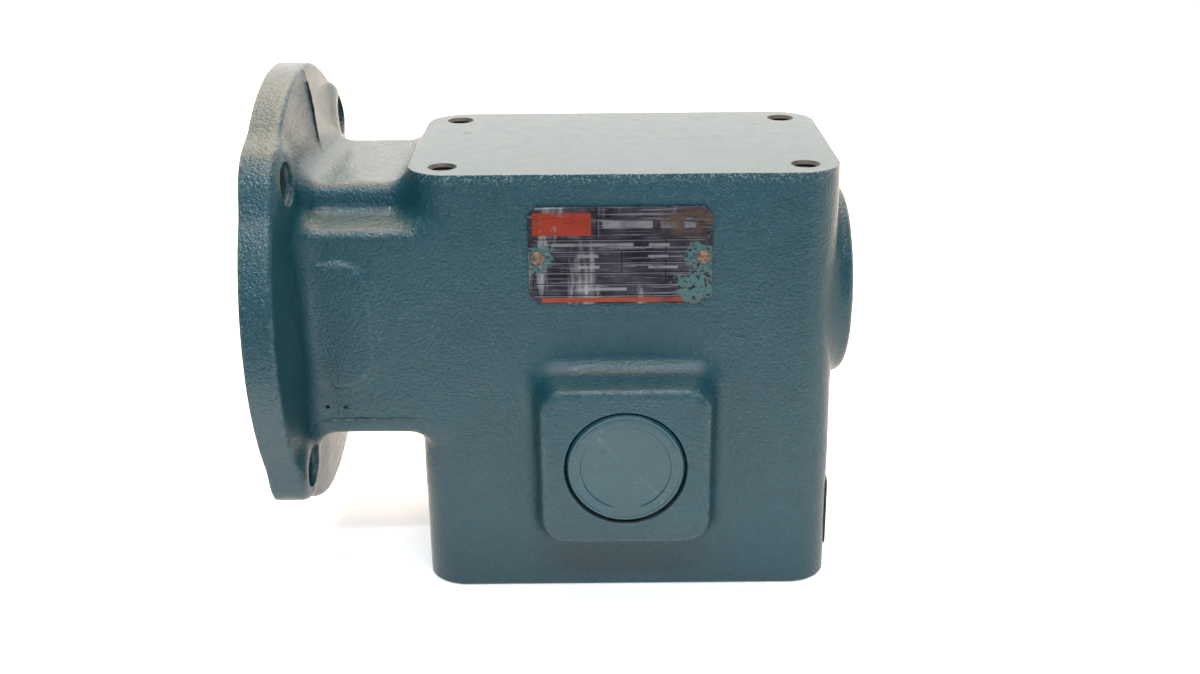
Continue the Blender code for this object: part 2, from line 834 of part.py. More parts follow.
def taper_bearing(prefix, middle, side, bore, outer, pitch, roller, count):
    """A tapered roller bearing on the output axis. side is the way that the cup's back faces."""
    slope = 0.25
    tilt = math.atan(slope)

    def pitch_at(t):
        return pitch - slope * t

    def roller_at(t):
        return roller * (1 - slope * t / pitch)

    def race(t, way):
        return pitch_at(t) + way * (roller_at(t) / math.cos(tilt) + 0.3)

    def at(t):
        return middle + side * t

    turned(
        prefix + "_cup",
        "Y",
        [(outer, at(-4.5)), (outer, at(6.4)), (race(6.4, 1), at(6.4)), (race(-4.5, 1), at(-4.5))],
        (BRIGHT, 0.22, 1.0),
        steps=28,
    )
    turned(
        prefix + "_cone",
        "Y",
        [
            (bore, at(-8.6)),
            (race(-5.8, -1) + 1.9, at(-8.6)),
            (race(-5.8, -1) + 1.9, at(-5.9)),
            (race(-5.7, -1), at(-5.7)),
            (race(6.2, -1), at(6.2)),
            (bore, at(6.2)),
        ],
        (BRIGHT, 0.22, 1.0),
        steps=28,
    )
    cage = turned(
        prefix + "_caged_rollers",
        "Y",
        [
            (pitch_at(-6.6) - 0.3, at(-6.6)),
            (pitch_at(-6.6) + 0.7, at(-6.6)),
            (pitch_at(6.4) + 0.7, at(6.4)),
            (pitch_at(6.4) - 0.3, at(6.4)),
        ],
        (BRIGHT, 0.2, 1.0),
        steps=20,
    )
    rollers = []
    length = 10.6
    for i in range(count):
        bm = bmesh.new()
        bmesh.ops.create_cone(
            bm,
            cap_ends=True,
            segments=6,
            radius1=roller_at(-length / 2) * MM,
            radius2=roller_at(length / 2) * MM,
            depth=length * MM,
        )
        # The roller's own axis leans in towards the cup's back, then the roller is set round the shaft.
        lean = Matrix.Rotation(-tilt, 4, "Y")
        out = Matrix.Translation(Vector((pitch, 0, 0)) * MM)
        spin = Matrix.Rotation(2 * math.pi * (i + 0.3) / count, 4, "Z")
        face = Matrix.Identity(4) if side > 0 else Matrix.Rotation(math.pi, 4, "X")
        place = Matrix.Translation(Vector((0, middle, Z_OUT)) * MM) @ AXES["Y"][0]
        bmesh.ops.transform(bm, matrix=place @ face @ spin @ out @ lean, verts=bm.verts)
        rollers.append(bm)
    join(cage, many(prefix + "_rollers", rollers))
    return cage


taper_bearing("near_bearing", -45.8, -1, NEAR_JOURNAL_R + FIT, 22.6, 16.3, 2.85, 14)
taper_bearing("far_bearing", 41.5, 1, SHAFT_R + FIT, 25.1, 19.2, 2.75, 16)

turned(
    "near_spacer",
    "Y",
    [(GEAR_SEAT_R + FIT, -36.9), (18.2, -36.9), (18.2, -13.9), (GEAR_SEAT_R + FIT, -13.9)],
    (STEEL, 0.35, 1.0),
    steps=24,
)
turned(
    "far_spacer",
    "Y",
    [(SHAFT_R + FIT, 19.3), (17.0, 19.3), (17.0, 32.6), (SHAFT_R + FIT, 32.6)],
    (STEEL, 0.35, 1.0),
    steps=24,
)

carrier = turned(
    "output_carrier",
    "Y",
    [
        (25.4, 34.6),
        (OPENING_R - 0.3, 34.6),
        (OPENING_R - 0.3, 48.3),
        (CARRIER_R, 48.3),
        (CARRIER_R, 56.5),
        (34.0, 56.5),
        (33.0, 61.5),
        (21.0, 61.5),
        (21.0, 52.6),
        (17.0, 52.6),
        (17.0, 48.2),
        (25.4, 48.2),
    ],
    (PAINT, 0.42, 0.0),
    steps=36,
)
gasket = turned(
    "carrier_gasket",
    "Y",
    [(44.2, 47.55), (CARRIER_R - 0.3, 47.55), (CARRIER_R - 0.3, 48.05), (44.2, 48.05)],
    ((0.32, 0.22, 0.12), 0.8, 0.0),
    steps=28,
)
bolt_holes = many(
    "carrier_clearance_holes",
    [cylinder_bm("Y", (x, Z_OUT + z), 46.5, 60, 3.6, 10) for x, z in around(6, CARRIER_BOLT_R)],
)
cut(carrier, bolt_holes)
cut(gasket, bolt_holes)
seal("output_oil_seal", "Y", 61.2, -1, 20.7, SHAFT_R)

# One hexagon-head bolt, then its five copies, which share its mesh.
bolt = rod("bolt_head", "Y", (0, 0), 56.8, 61.0, 5.8, 6)
shank = rod("bolt_shank", "Y", (0, 0), 38.0, 57.5, 3.0, 12)
join(bolt, shank)
bpy.context.view_layer.update()
shape = bpy.data.meshes.new_from_object(bolt.evaluated_get(bpy.context.evaluated_depsgraph_get()))
shape.name = "carrier_bolt"
for number, (x, z) in enumerate(around(6, CARRIER_BOLT_R), start=1):
    copy = bpy.data.objects.new(f"carrier_bolt_{number}", shape)
    turn = Matrix.Rotation(-math.atan2(z, x), 4, "Y")
    copy.matrix_world = Matrix.Translation(Vector((x, 0, Z_OUT + z)) * MM) @ turn
    parts.objects.link(copy)
shape.materials.append(material("carrier_bolt_finish", (0.08, 0.1, 0.11), 0.4, 1.0))
bpy.data.objects.remove(bolt, do_unlink=True)
bpy.data.objects.remove(shank, do_unlink=True)

# ---------------------------------------------------------------- small pieces on the outside
turned(
    "bearing_end_cap",
    "Y",
    [
        (0, -60.9),
        (16.4, -60.9),
        (16.9, -61.35),
        (20.9, -61.35),
        (21.4, -60.9),
        (21.4, -55.9),
        (19.2, -55.9),
        (19.2, -58.6),
        (0, -58.6),
    ],
    (PAINT, 0.38, 0.0),
    steps=36,
)

bm = cube((-33.4, -48.4, Z_IN + 7.4), (30.4, -47.6, Z_IN + 42.6))
round_edges(bm, 1, 3.0, 1)
plate = object_of("nameplate", bm, ((0.2, 0.19, 0.22), 0.35, 1.0))
cut(
    plate,
    many(
        "plate_holes",
        [cylinder_bm("Y", (x, Z_IN + 24.5), -50, -46, 1.5, 12) for x in (-30.4, 27.4)],
    ),
)
for label, x in (("left", -30.4), ("right", 27.4)):
    turned(
        "nameplate_screw_" + label,
        "Y",
        [
            (0, -49.9),
            (1.6, -49.6),
            (2.6, -48.7),
            (1.1, -48.7),
            (1.1, -43.0),
            (0, -43.0),
        ],
        (STEEL, 0.4, 1.0),
        steps=14,
        at=(x, 0, Z_IN + 24.5),
    )

bm = cube((0.3, -33.0, -14.2), (0.9, 12.0, 14.2))
round_edges(bm, 0, 2.0, 2)
tag = object_of("end_face_tag", bm, (BLACK, 0.5, 0.0))
tag_height = 22.0
tag.location = Vector(
    (
        BODY_RIGHT_BASE + (BODY_RIGHT_TOP - BODY_RIGHT_BASE) * tag_height / HEIGHT,
        0,
        tag_height,
    )
) * MM
tag.rotation_euler = (0, -math.atan((BODY_RIGHT_BASE - BODY_RIGHT_TOP) / HEIGHT), 0)

# ---------------------------------------------------------------- what turns together
for name in ("worm_gear_hub", "worm_gear_rim", "gear_key", "output_key"):
    child_of(bpy.data.objects[name], output_shaft)
for name in ("near_spacer", "far_spacer", "near_bearing_cone", "far_bearing_cone"):
    child_of(bpy.data.objects[name], output_shaft)
for name in ("input_bearing_inner_ring", "rear_bearing_inner_ring", "shaft_retaining_ring"):
    child_of(bpy.data.objects[name], worm_shaft)
bpy.context.view_layer.update()
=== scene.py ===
"""Right-angle worm gear reducer: fine surfaces, finishes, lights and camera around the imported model.

Frame: metres, +Z up, origin on the base face, below the output axis and in the housing's middle plane.
Lengths in the functions below are millimetres unless a name says otherwise.
"""

import json
import math

import bmesh
import bpy
import numpy as np
from mathutils import Matrix, Vector

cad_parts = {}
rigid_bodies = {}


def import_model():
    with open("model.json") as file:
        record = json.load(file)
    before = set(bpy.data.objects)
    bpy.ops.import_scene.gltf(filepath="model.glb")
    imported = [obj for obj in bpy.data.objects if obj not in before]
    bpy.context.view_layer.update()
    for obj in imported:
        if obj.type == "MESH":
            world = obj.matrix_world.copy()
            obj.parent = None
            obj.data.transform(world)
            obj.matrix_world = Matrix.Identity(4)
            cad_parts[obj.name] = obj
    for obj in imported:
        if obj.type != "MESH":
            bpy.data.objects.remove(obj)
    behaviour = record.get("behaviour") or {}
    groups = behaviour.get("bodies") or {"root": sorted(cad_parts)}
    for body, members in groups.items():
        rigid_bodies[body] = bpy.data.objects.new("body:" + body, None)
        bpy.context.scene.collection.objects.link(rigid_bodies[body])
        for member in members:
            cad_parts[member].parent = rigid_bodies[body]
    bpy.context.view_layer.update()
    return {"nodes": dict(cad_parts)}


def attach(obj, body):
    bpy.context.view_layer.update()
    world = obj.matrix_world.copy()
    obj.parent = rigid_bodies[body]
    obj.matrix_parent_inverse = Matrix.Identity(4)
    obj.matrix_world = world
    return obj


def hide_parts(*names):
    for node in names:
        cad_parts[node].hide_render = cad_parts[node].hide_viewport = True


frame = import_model()
nodes = frame["nodes"]
MM = 0.001

Z_OUT = 56.0
Z_IN = 106.8
HEIGHT = 160.7
BODY_LEFT, BODY_RIGHT_TOP, BODY_RIGHT_BASE, BODY_Y = -75.2, 75.4, 77.0, 47.3
FLANGE_FACE, FLANGE_BACK, FLANGE_R = -126.6, -115.9, 82.55
LUG_PCD, LUG_R = 74.6, 11.5
NECK_LOW, NECK_LEDGE, NECK_TOP = Z_IN - 43.5, Z_IN + 33.8, Z_IN + 47.6
PAD_FACE = -61.5
BOLT_SPOTS = [
    (LUG_PCD * math.cos(math.radians(a)), Z_IN + LUG_PCD * math.sin(math.radians(a)))
    for a in (45, 135, 225, 315)
]
CARRIER_SPOTS = [
    (49.5 * math.cos(math.radians(60 * k)), Z_OUT + 49.5 * math.sin(math.radians(60 * k)))
    for k in range(6)
]

made = bpy.data.collections.new("gearbox_surfaces")
bpy.context.scene.collection.children.link(made)
tools = bpy.data.collections.new("gearbox_cutters")
bpy.context.scene.collection.children.link(tools)


# ---------------------------------------------------------------- node helpers
class Tree:
    """Short names for building a material's nodes."""

    def __init__(self, name):
        self.mat = bpy.data.materials.new(name)
        self.mat.use_nodes = True
        self.nt = self.mat.node_tree
        self.nt.nodes.clear()
        self.out = self.add("ShaderNodeOutputMaterial")
        self.bsdf = self.add("ShaderNodeBsdfPrincipled")
        self.link(self.bsdf.outputs[0], self.out.inputs[0])
        coords = self.add("ShaderNodeTexCoord")
        scale = self.add("ShaderNodeVectorMath", operation="SCALE")
        self.link(coords.outputs["Object"], scale.inputs[0])
        scale.inputs["Scale"].default_value = 1000.0
        self.mm = scale.outputs[0]
        self._axes = None

    def add(self, kind, **settings):
        node = self.nt.nodes.new(kind)
        for key, value in settings.items():
            setattr(node, key, value)
        return node

    def link(self, a, b):
        self.nt.links.new(a, b)

    def put(self, socket, value):
        if isinstance(value, bpy.types.NodeSocket):
            self.link(value, socket)
        elif socket.type == "RGBA":
            socket.default_value = (*value[:3], 1.0)
        else:
            socket.default_value = value

    def set(self, name, value):
        self.put(self.bsdf.inputs[name], value)

    @property
    def axes(self):
        if self._axes is None:
            split = self.add("ShaderNodeSeparateXYZ")
            self.link(self.mm, split.inputs[0])
            self._axes = split.outputs
        return self._axes

    def math(self, operation, a, b=0.0, c=0.0, clamp=False):
        node = self.add("ShaderNodeMath", operation=operation, use_clamp=clamp)
        for socket, value in zip(node.inputs, (a, b, c)):
            self.put(socket, value)
        return node.outputs[0]

    def stretched(self, x=1.0, y=1.0, z=1.0, move=(0, 0, 0)):
        node = self.add("ShaderNodeMapping")
        self.link(self.mm, node.inputs["Vector"])
        node.inputs["Scale"].default_value = (x, y, z)
        node.inputs["Location"].default_value = move
        return node.outputs[0]

    def noise(self, scale, detail=2.0, rough=0.5, vector=None, distortion=0.0):
        node = self.add("ShaderNodeTexNoise")
        self.link(vector or self.mm, node.inputs["Vector"])
        node.inputs["Scale"].default_value = scale
        node.inputs["Detail"].default_value = detail
        node.inputs["Roughness"].default_value = rough
        node.inputs["Distortion"].default_value = distortion
        return node.outputs[0]

    def cells(self, scale, vector=None, feature="F1", randomness=1.0):
        node = self.add("ShaderNodeTexVoronoi", feature=feature)
        self.link(vector or self.mm, node.inputs["Vector"])
        node.inputs["Scale"].default_value = scale
        node.inputs["Randomness"].default_value = randomness
        return node.outputs["Distance"]

    def ramp(self, value, low, high, to_low=0.0, to_high=1.0):
        node = self.add("ShaderNodeMapRange")
        node.clamp = True
        self.put(node.inputs["Value"], value)
        node.inputs["From Min"].default_value = low
        node.inputs["From Max"].default_value = high
        node.inputs["To Min"].default_value = to_low
        node.inputs["To Max"].default_value = to_high
        return node.outputs[0]

    def mix(self, share, a, b):
        node = self.add("ShaderNodeMix", data_type="RGBA")
        self.put(node.inputs["Factor"], share)
        self.put(node.inputs[6], a)
        self.put(node.inputs[7], b)
        return node.outputs[2]

    def within(self, value, low, high, soft=0.15):
        """1 where low < value < high, fading over soft."""
        up = self.ramp(value, low - soft, low + soft)
        down = self.ramp(value, high - soft, high + soft, 1.0, 0.0)
        return self.math("MULTIPLY", up, down)

    def block(self, x0, x1, z0, z1, soft=0.12, axes=(0, 2)):
        a = self.within(self.axes[axes[0]], x0, x1, soft)
        b = self.within(self.axes[axes[1]], z0, z1, soft)
        return self.math("MULTIPLY", a, b)

    def bump(self, height, distance, strength=1.0, normal=None):
        node = self.add("ShaderNodeBump")
        self.put(node.inputs["Height"], height)
        node.inputs["Distance"].default_value = distance * MM
        node.inputs["Strength"].default_value = strength
        if normal is not None:
            self.link(normal, node.inputs["Normal"])
        return node.outputs[0]


TEAL = (0.0060, 0.0500, 0.0700)
TEAL_LIGHT = (0.0085, 0.0600, 0.0830)
TEAL_DARK = (0.0040, 0.0350, 0.0480)
IRON = (0.022, 0.022, 0.022)


def enamel(name, grain=1.0, marks=0.0, lines=0.0, base=TEAL, rough=(0.11, 0.19)):
    """Teal machinery enamel. grain is how much of the sand-cast skin shows through, marks how many chips and
    scuffs a machined face has picked up, and lines how deep its milling marks are."""
    t = Tree(name)
    wide = t.noise(0.022, 3.0, 0.55)
    middle = t.noise(0.11, 3.0, 0.6)
    colour = t.mix(t.ramp(wide, 0.35, 0.68), base, TEAL_LIGHT)
    colour = t.mix(t.ramp(middle, 0.55, 0.78, 0.0, 0.45), colour, TEAL_DARK)
    fine = t.noise(0.80, 2.5, 0.55)
    finer = t.noise(1.90, 2.0, 0.5)
    if grain > 0:
        # Paint is thin on the high grains and pools in the low ones.
        colour = t.mix(t.ramp(fine, 0.34, 0.46, 0.30, 0.0), colour, TEAL_DARK)
        crest = t.ramp(fine, 0.60, 0.74, 0.0, 0.30)
        colour = t.mix(crest, colour, (0.045, 0.110, 0.130))
        # Dry dust that sits in the pores.
        dust = t.math(
            "MULTIPLY",
            t.ramp(t.noise(1.1, 3.0, 0.7), 0.66, 0.74),
            t.ramp(t.noise(0.035, 2.0, 0.5), 0.50, 0.68, 0.0, 0.75),
        )
        colour = t.mix(dust, colour, (0.20, 0.23, 0.23))
    if grain > 0.5:
        # Enamel knocked off in specks along the top's milled edge.
        rim = t.math("MULTIPLY", t.ramp(t.axes[2], 156.5, 160.4), t.ramp(t.noise(1.3, 3.0, 0.7), 0.55, 0.63, 0.0, 0.7))
        rim = t.math("MULTIPLY", rim, t.block(-76.0, 78.0, 150.0, 160.75, 0.3))
        colour = t.mix(rim, colour, (0.30, 0.38, 0.42))
    # Worn arrises, lighter partly from wear and partly as a painted edge highlight, and painted shade in the concave
    # corners.
    shape = t.add("ShaderNodeNewGeometry").outputs["Pointiness"]
    worn_edge_and_highlight = t.math(
        "MULTIPLY",
        t.ramp(shape, 0.515, 0.56),
        t.ramp(t.noise(0.33, 4.0, 0.7), 0.45, 0.68, 0.0, 0.75),
    )
    colour = t.mix(worn_edge_and_highlight, colour, (0.090, 0.145, 0.155))
    # Painted shade: the concave corners are darkened where shade falls.
    colour = t.mix(t.ramp(shape, 0.485, 0.445, 0.0, 0.5), colour, (0.018, 0.038, 0.042))
    roughness = t.ramp(t.noise(0.16, 4.0, 0.65), 0.30, 0.72, rough[0], rough[1])
    if marks > 0:
        chips = t.math(
            "MULTIPLY",
            t.ramp(t.cells(0.045), 0.10, 0.045),
            t.ramp(t.noise(0.8, 3.0, 0.7), 0.47, 0.56),
        )
        scuffs = t.math(
            "MULTIPLY",
            t.ramp(t.noise(0.05, 3.0, 0.6, t.stretched(1.0, 2.6, 1.0, (3, 9, 0))), 0.60, 0.72),
            t.ramp(t.noise(0.9, 4.0, 0.75), 0.52, 0.66, 0.0, 0.6),
        )
        colour = t.mix(t.math("MULTIPLY", chips, marks), colour, (0.030, 0.026, 0.022))
        colour = t.mix(t.math("MULTIPLY", scuffs, marks), colour, (0.10, 0.12, 0.12))
        roughness = t.math("ADD", roughness, t.math("MULTIPLY", scuffs, 0.25 * marks))
        roughness = t.math("ADD", roughness, t.math("MULTIPLY", chips, 0.35 * marks), clamp=True)
    t.set("Base Color", colour)
    t.set("Roughness", roughness)
    t.set("IOR", 1.52)
    t.set("Specular IOR Level", 0.62)
    coarse = t.bump(middle, 0.20 * max(grain, 0.08))
    skin = t.bump(fine, 0.36 * grain + 0.008, normal=coarse)
    skin = t.bump(finer, 0.26 * grain + 0.003, normal=skin)
    if lines > 0:
        wave = t.math("SINE", t.math("MULTIPLY", t.axes[0], 5.2))
        broken = t.math("MULTIPLY", wave, t.ramp(t.noise(0.05, 2.0), 0.35, 0.65))
        skin = t.bump(broken, 0.004 * lines, normal=skin)
    t.set("Normal", skin)
    return t.mat


def metal(name, colour, rough, dark=None, turned_about=None, at=(0, 0, 0), pitch=2.2, depth=0.006, scale=0.2):
    """Machined metal with tool marks round an axis, stains and uneven gloss."""
    t = Tree(name)
    dark = dark or tuple(c * 0.55 for c in colour)
    stain = t.noise(scale * 0.35, 4.0, 0.6)
    tint = t.mix(t.ramp(stain, 0.38, 0.66), colour, dark)
    specks = t.ramp(t.noise(scale * 6, 3.0, 0.7), 0.62, 0.74, 0.0, 0.45)
    tint = t.mix(specks, tint, tuple(c * 0.5 for c in dark))
    t.set("Base Color", tint)
    t.set("Metallic", 1.0)
    roughness = t.ramp(t.noise(scale * 1.4, 4.0, 0.6), 0.3, 0.7, rough[0], rough[1])
    t.set("Roughness", roughness)
    normal = t.bump(t.noise(scale * 5, 3.0, 0.6), 0.02)
    if turned_about is not None:
        a, b = [i for i in range(3) if i != turned_about]
        da = t.math("SUBTRACT", t.axes[a], at[a])
        db = t.math("SUBTRACT", t.axes[b], at[b])
        radius = t.math("SQRT", t.math("ADD", t.math("MULTIPLY", da, da), t.math("MULTIPLY", db, db)))
        along = t.math("ADD", radius, t.axes[turned_about])
        grooves = t.math("SINE", t.math("MULTIPLY", along, 2 * math.pi * pitch))
        normal = t.bump(grooves, depth, normal=normal)
    t.set("Normal", normal)
    return t.mat


def rubber(name):
    t = Tree(name)
    cloudy = t.noise(0.25, 3.0, 0.6)
    t.set("Base Color", t.mix(t.ramp(cloudy, 0.35, 0.7), (0.012, 0.012, 0.013), (0.034, 0.033, 0.031)))
    t.set("Roughness", t.ramp(t.noise(0.5, 3.0, 0.6), 0.3, 0.7, 0.42, 0.62))
    t.set("Normal", t.bump(t.noise(1.6, 2.0, 0.5), 0.03))
    return t.mat


def paper(name):
    t = Tree(name)
    t.set("Base Color", t.mix(t.noise(0.4, 4.0, 0.7), (0.20, 0.13, 0.07), (0.34, 0.25, 0.15)))
    t.set("Roughness", t.ramp(t.noise(0.7, 3.0), 0.3, 0.7, 0.75, 0.92))
    t.set("Normal", t.bump(t.noise(1.3, 3.0, 0.7), 0.05))
    return t.mat


def as_cast(name):
    """Unpainted machined iron inside the bores, oiled and dark."""
    t = Tree(name)
    cloudy = t.noise(0.12, 4.0, 0.6)
    t.set("Base Color", t.mix(t.ramp(cloudy, 0.35, 0.7), IRON, (0.058, 0.055, 0.052)))
    t.set("Metallic", 0.20)
    t.set("Roughness", t.ramp(t.noise(0.4, 3.0, 0.6), 0.3, 0.7, 0.38, 0.6))
    t.set("Normal", t.bump(t.noise(1.1, 3.0, 0.6), 0.05))
    return t.mat


def spigot_face(name):
    """The machined flange face: bare iron with concentric tool marks and thin enamel overspray at its rim."""
    t = Tree(name)
    dy = t.axes[1]
    dz = t.math("SUBTRACT", t.axes[2], Z_IN)
    radius = t.math("SQRT", t.math("ADD", t.math("MULTIPLY", dy, dy), t.math("MULTIPLY", dz, dz)))
    iron = t.mix(t.ramp(t.noise(0.08, 4.0, 0.6), 0.35, 0.68), (0.25, 0.24, 0.23), (0.15, 0.14, 0.13))
    rust = t.ramp(t.noise(0.14, 5.0, 0.7), 0.60, 0.72, 0.0, 0.6)
    iron = t.mix(rust, iron, (0.16, 0.075, 0.035))
    edge = t.math("ADD", radius, t.ramp(t.noise(0.12, 4.0, 0.7), 0.3, 0.7, -9.0, 9.0))
    painted = t.ramp(edge, 70.0, 76.0)
    t.set("Base Color", t.mix(painted, iron, TEAL))
    t.set("Metallic", t.math("MULTIPLY", t.math("SUBTRACT", 1.0, painted), 0.75))
    t.set("Roughness", t.ramp(t.noise(0.3, 3.0), 0.3, 0.7, 0.34, 0.5))
    rings = t.math("SINE", t.math("MULTIPLY", radius, 2 * math.pi * 1.4))
    t.set("Normal", t.bump(rings, 0.008, normal=t.bump(t.noise(0.9, 3.0), 0.03)))
    return t.mat


def rating_plate(name):
    """Blank rating plate: dark scratched metal, ruled fields, an orange block and band, thin paint left at the
    right-hand corner. It has no lettering."""
    t = Tree(name)
    streak = t.noise(1.1, 4.0, 0.7, t.stretched(0.045, 1.0, 1.0))
    cloud = t.noise(0.09, 3.0, 0.6)
    colour = t.mix(t.ramp(cloud, 0.35, 0.68), (0.018, 0.018, 0.030), (0.085, 0.082, 0.112))
    colour = t.mix(t.ramp(streak, 0.53, 0.68, 0.0, 0.9), colour, (0.36, 0.37, 0.43))
    colour = t.mix(t.ramp(streak, 0.40, 0.30, 0.0, 0.8), colour, (0.016, 0.016, 0.024))
    bright = t.ramp(t.noise(0.13, 4.0, 0.65, t.stretched(1.0, 1.0, 0.16, (40, 0, 7))), 0.55, 0.72, 0.0, 0.85)
    colour = t.mix(bright, colour, (0.50, 0.51, 0.55))
    # Ruled lines, in pairs: a dark ruled line with a pale painted highlight just below it.
    for z in (137.9, 133.8, 129.7, 125.9, 121.7, 117.5):
        colour = t.mix(t.block(-31.4, 27.6, z - 0.16, z + 0.16, 0.10), colour, (0.012, 0.011, 0.016))
        colour = t.mix(t.math("MULTIPLY", t.block(-31.4, 27.6, z - 0.52, z - 0.28, 0.08), 0.5), colour, (0.42, 0.42, 0.46))
    for x, low, high in ((-9.7, 138.1, 149.2), (-1.1, 125.9, 133.8), (14.2, 121.7, 137.9)):
        colour = t.mix(t.block(x - 0.16, x + 0.16, low, high, 0.10), colour, (0.012, 0.011, 0.016))
    # Plain stamped bars stand in the fields.
    chipped = t.ramp(t.noise(0.16, 3.0, 0.6), 0.30, 0.52, 0.45, 1.0)
    for x0, x1, z0, z1 in (
        (-7.6, 9.6, 141.4, 144.9), (12.4, 18.6, 141.4, 144.6), (20.4, 24.6, 141.4, 144.4),
        (-25.4, 3.0, 134.9, 136.9), (8.4, 15.4, 134.8, 136.8),
        (-16.4, -9.2, 130.8, 132.8), (8.2, 15.0, 130.8, 132.6),
        (-16.2, -8.8, 126.8, 128.8), (8.2, 18.4, 126.8, 128.6), (-16.6, 0.6, 118.7, 120.7),
    ):
        bar = t.math("MULTIPLY", t.block(x0, x1, z0 + 0.45, z1 - 0.45, 0.22), t.math("MULTIPLY", chipped, 0.62))
        colour = t.mix(bar, colour, (0.44, 0.46, 0.50))
    # Orange block and band, rubbed.
    rubbed = t.ramp(t.noise(0.35, 4.0, 0.7), 0.30, 0.46)
    orange = t.math("MULTIPLY", t.block(-31.8, -11.6, 139.3, 147.4, 0.2), rubbed)
    colour = t.mix(orange, colour, (0.44, 0.060, 0.032))
    band = t.math("MULTIPLY", t.block(-29.0, 27.0, 115.0, 116.6, 0.15), t.ramp(t.noise(0.10, 3.0, 0.6), 0.30, 0.50, 0.35, 1.0))
    colour = t.mix(band, colour, (0.42, 0.085, 0.045))
    # Brown varnish in the top right corner, and paint round the screws and at the lower right.
    brown = t.math("MULTIPLY", t.block(12.0, 31.0, 139.5, 150.0, 3.0), t.ramp(t.noise(0.22, 4.0, 0.7), 0.44, 0.56, 0.0, 0.85))
    colour = t.mix(brown, colour, (0.155, 0.100, 0.072))
    painted = None
    for x, z, reach in ((-30.4, 131.3, 4.4), (27.4, 131.3, 5.6), (24.0, 119.5, 6.4), (29.6, 126.0, 3.2)):
        dx = t.math("SUBTRACT", t.axes[0], x)
        dz = t.math("SUBTRACT", t.axes[2], z)
        far = t.math("SQRT", t.math("ADD", t.math("MULTIPLY", dx, dx), t.math("MULTIPLY", dz, dz)))
        ragged = t.math("ADD", far, t.ramp(t.noise(0.38, 4.0, 0.75), 0.3, 0.7, -3.2, 3.2))
        spot = t.ramp(ragged, reach - 0.35, reach + 0.35, 1.0, 0.0)
        painted = spot if painted is None else t.math("MAXIMUM", painted, spot)
    border = t.ramp(t.noise(0.5, 4.0, 0.7), 0.56, 0.66)
    painted = t.math("MAXIMUM", painted, t.math("MULTIPLY", border, t.ramp(t.axes[0], 27.5, 29.6)))
    flaked = t.ramp(t.noise(0.7, 3.0, 0.6, t.stretched(1, 1, 1, (11, 0, 5))), 0.40, 0.46)
    colour = t.mix(t.math("MULTIPLY", painted, flaked), colour, (0.050, 0.125, 0.135))
    colour = t.mix(t.math("MULTIPLY", painted, t.math("SUBTRACT", 1.0, flaked)), colour, (0.010, 0.010, 0.012))
    t.set("Base Color", colour)
    t.set("Metallic", t.math("SUBTRACT", 0.62, t.math("MULTIPLY", painted, 0.62)))
    t.set("Roughness", t.ramp(streak, 0.3, 0.7, 0.40, 0.24))
    dents = t.bump(t.noise(0.12, 3.0, 0.55), 0.35)
    scored = t.bump(streak, 0.03, normal=dents)
    t.set("Normal", t.bump(painted, 0.12, normal=scored))
    return t.mat


def rusty_steel(name):
    t = Tree(name)
    patch = t.noise(0.9, 4.0, 0.7)
    colour = t.mix(t.ramp(patch, 0.40, 0.58), (0.26, 0.22, 0.18), (0.20, 0.085, 0.040))
    paint = t.ramp(t.noise(0.7, 3.0, 0.6, t.stretched(1, 1, 1, (5, 0, 2))), 0.55, 0.62)
    colour = t.mix(paint, colour, TEAL_LIGHT)
    t.set("Base Color", colour)
    t.set("Metallic", t.math("MULTIPLY", t.math("SUBTRACT", 1.0, paint), 0.6))
    t.set("Roughness", t.ramp(patch, 0.3, 0.7, 0.35, 0.6))
    t.set("Normal", t.bump(patch, 0.12))
    return t.mat


def painted_gap_shadow(name):
    """Painted shadow: a near-black line standing for the shade in the gap between the two halves of the casting mould,
    with paint bridging it here and there.
    """
    t = Tree(name)
    bridged = t.ramp(t.noise(0.6, 3.0, 0.7), 0.50, 0.60)
    t.set("Base Color", t.mix(bridged, (0.006, 0.008, 0.009), TEAL_DARK))
    t.set("Roughness", t.ramp(t.noise(0.5), 0.3, 0.7, 0.5, 0.8))
    return t.mat


mat = {
    "cast": enamel("cast_enamel"),
    "flat": enamel("machined_enamel", grain=0.10, marks=1.0, lines=1.0, rough=(0.18, 0.26)),
    "cap": enamel("pressed_enamel", grain=0.14, marks=0.25, base=(0.013, 0.070, 0.094), rough=(0.18, 0.28)),
    "iron": as_cast("bore_iron"),
    "spigot": spigot_face("flange_face_iron"),
    "steel": metal("turned_steel_x", (0.56, 0.55, 0.54), (0.20, 0.36), turned_about=0, at=(0, 0, Z_IN)),
    "steel_y": metal("turned_steel_y", (0.56, 0.55, 0.54), (0.20, 0.36), turned_about=1, at=(0, 0, Z_OUT)),
    "bearing": metal("bearing_steel", (0.66, 0.66, 0.67), (0.12, 0.24), scale=0.3),
    "key": metal("key_steel", (0.42, 0.41, 0.40), (0.30, 0.48)),
    "hub": metal("hub_iron", (0.15, 0.15, 0.155), (0.40, 0.58), turned_about=1, at=(0, 0, Z_OUT)),
    "bronze": metal("gear_bronze", (0.62, 0.39, 0.17), (0.24, 0.40), dark=(0.40, 0.22, 0.08)),
    "spring": metal("spring_steel", (0.07, 0.068, 0.065), (0.35, 0.5)),
    "bolt": metal("oxide_bolt", (0.055, 0.058, 0.062), (0.32, 0.50), scale=0.4),
    "rubber": rubber("seal_rubber"),
    "paper": paper("gasket_paper"),
    "plate": rating_plate("rating_plate_metal"),
    "screw": rusty_steel("drive_screw_steel"),
    "gap_shadow": painted_gap_shadow("mould_gap_shadow"),
}


# ---------------------------------------------------------------- mesh helpers
def object_from(name, vertices, faces, material=None, collection=made):
    mesh = bpy.data.meshes.new(name)
    mesh.from_pydata([tuple(v) for v in vertices], [], [tuple(f) for f in faces])
    mesh.update()
    obj = bpy.data.objects.new(name, mesh)
    collection.objects.link(obj)
    if material is not None:
        mesh.materials.append(material)
    return obj


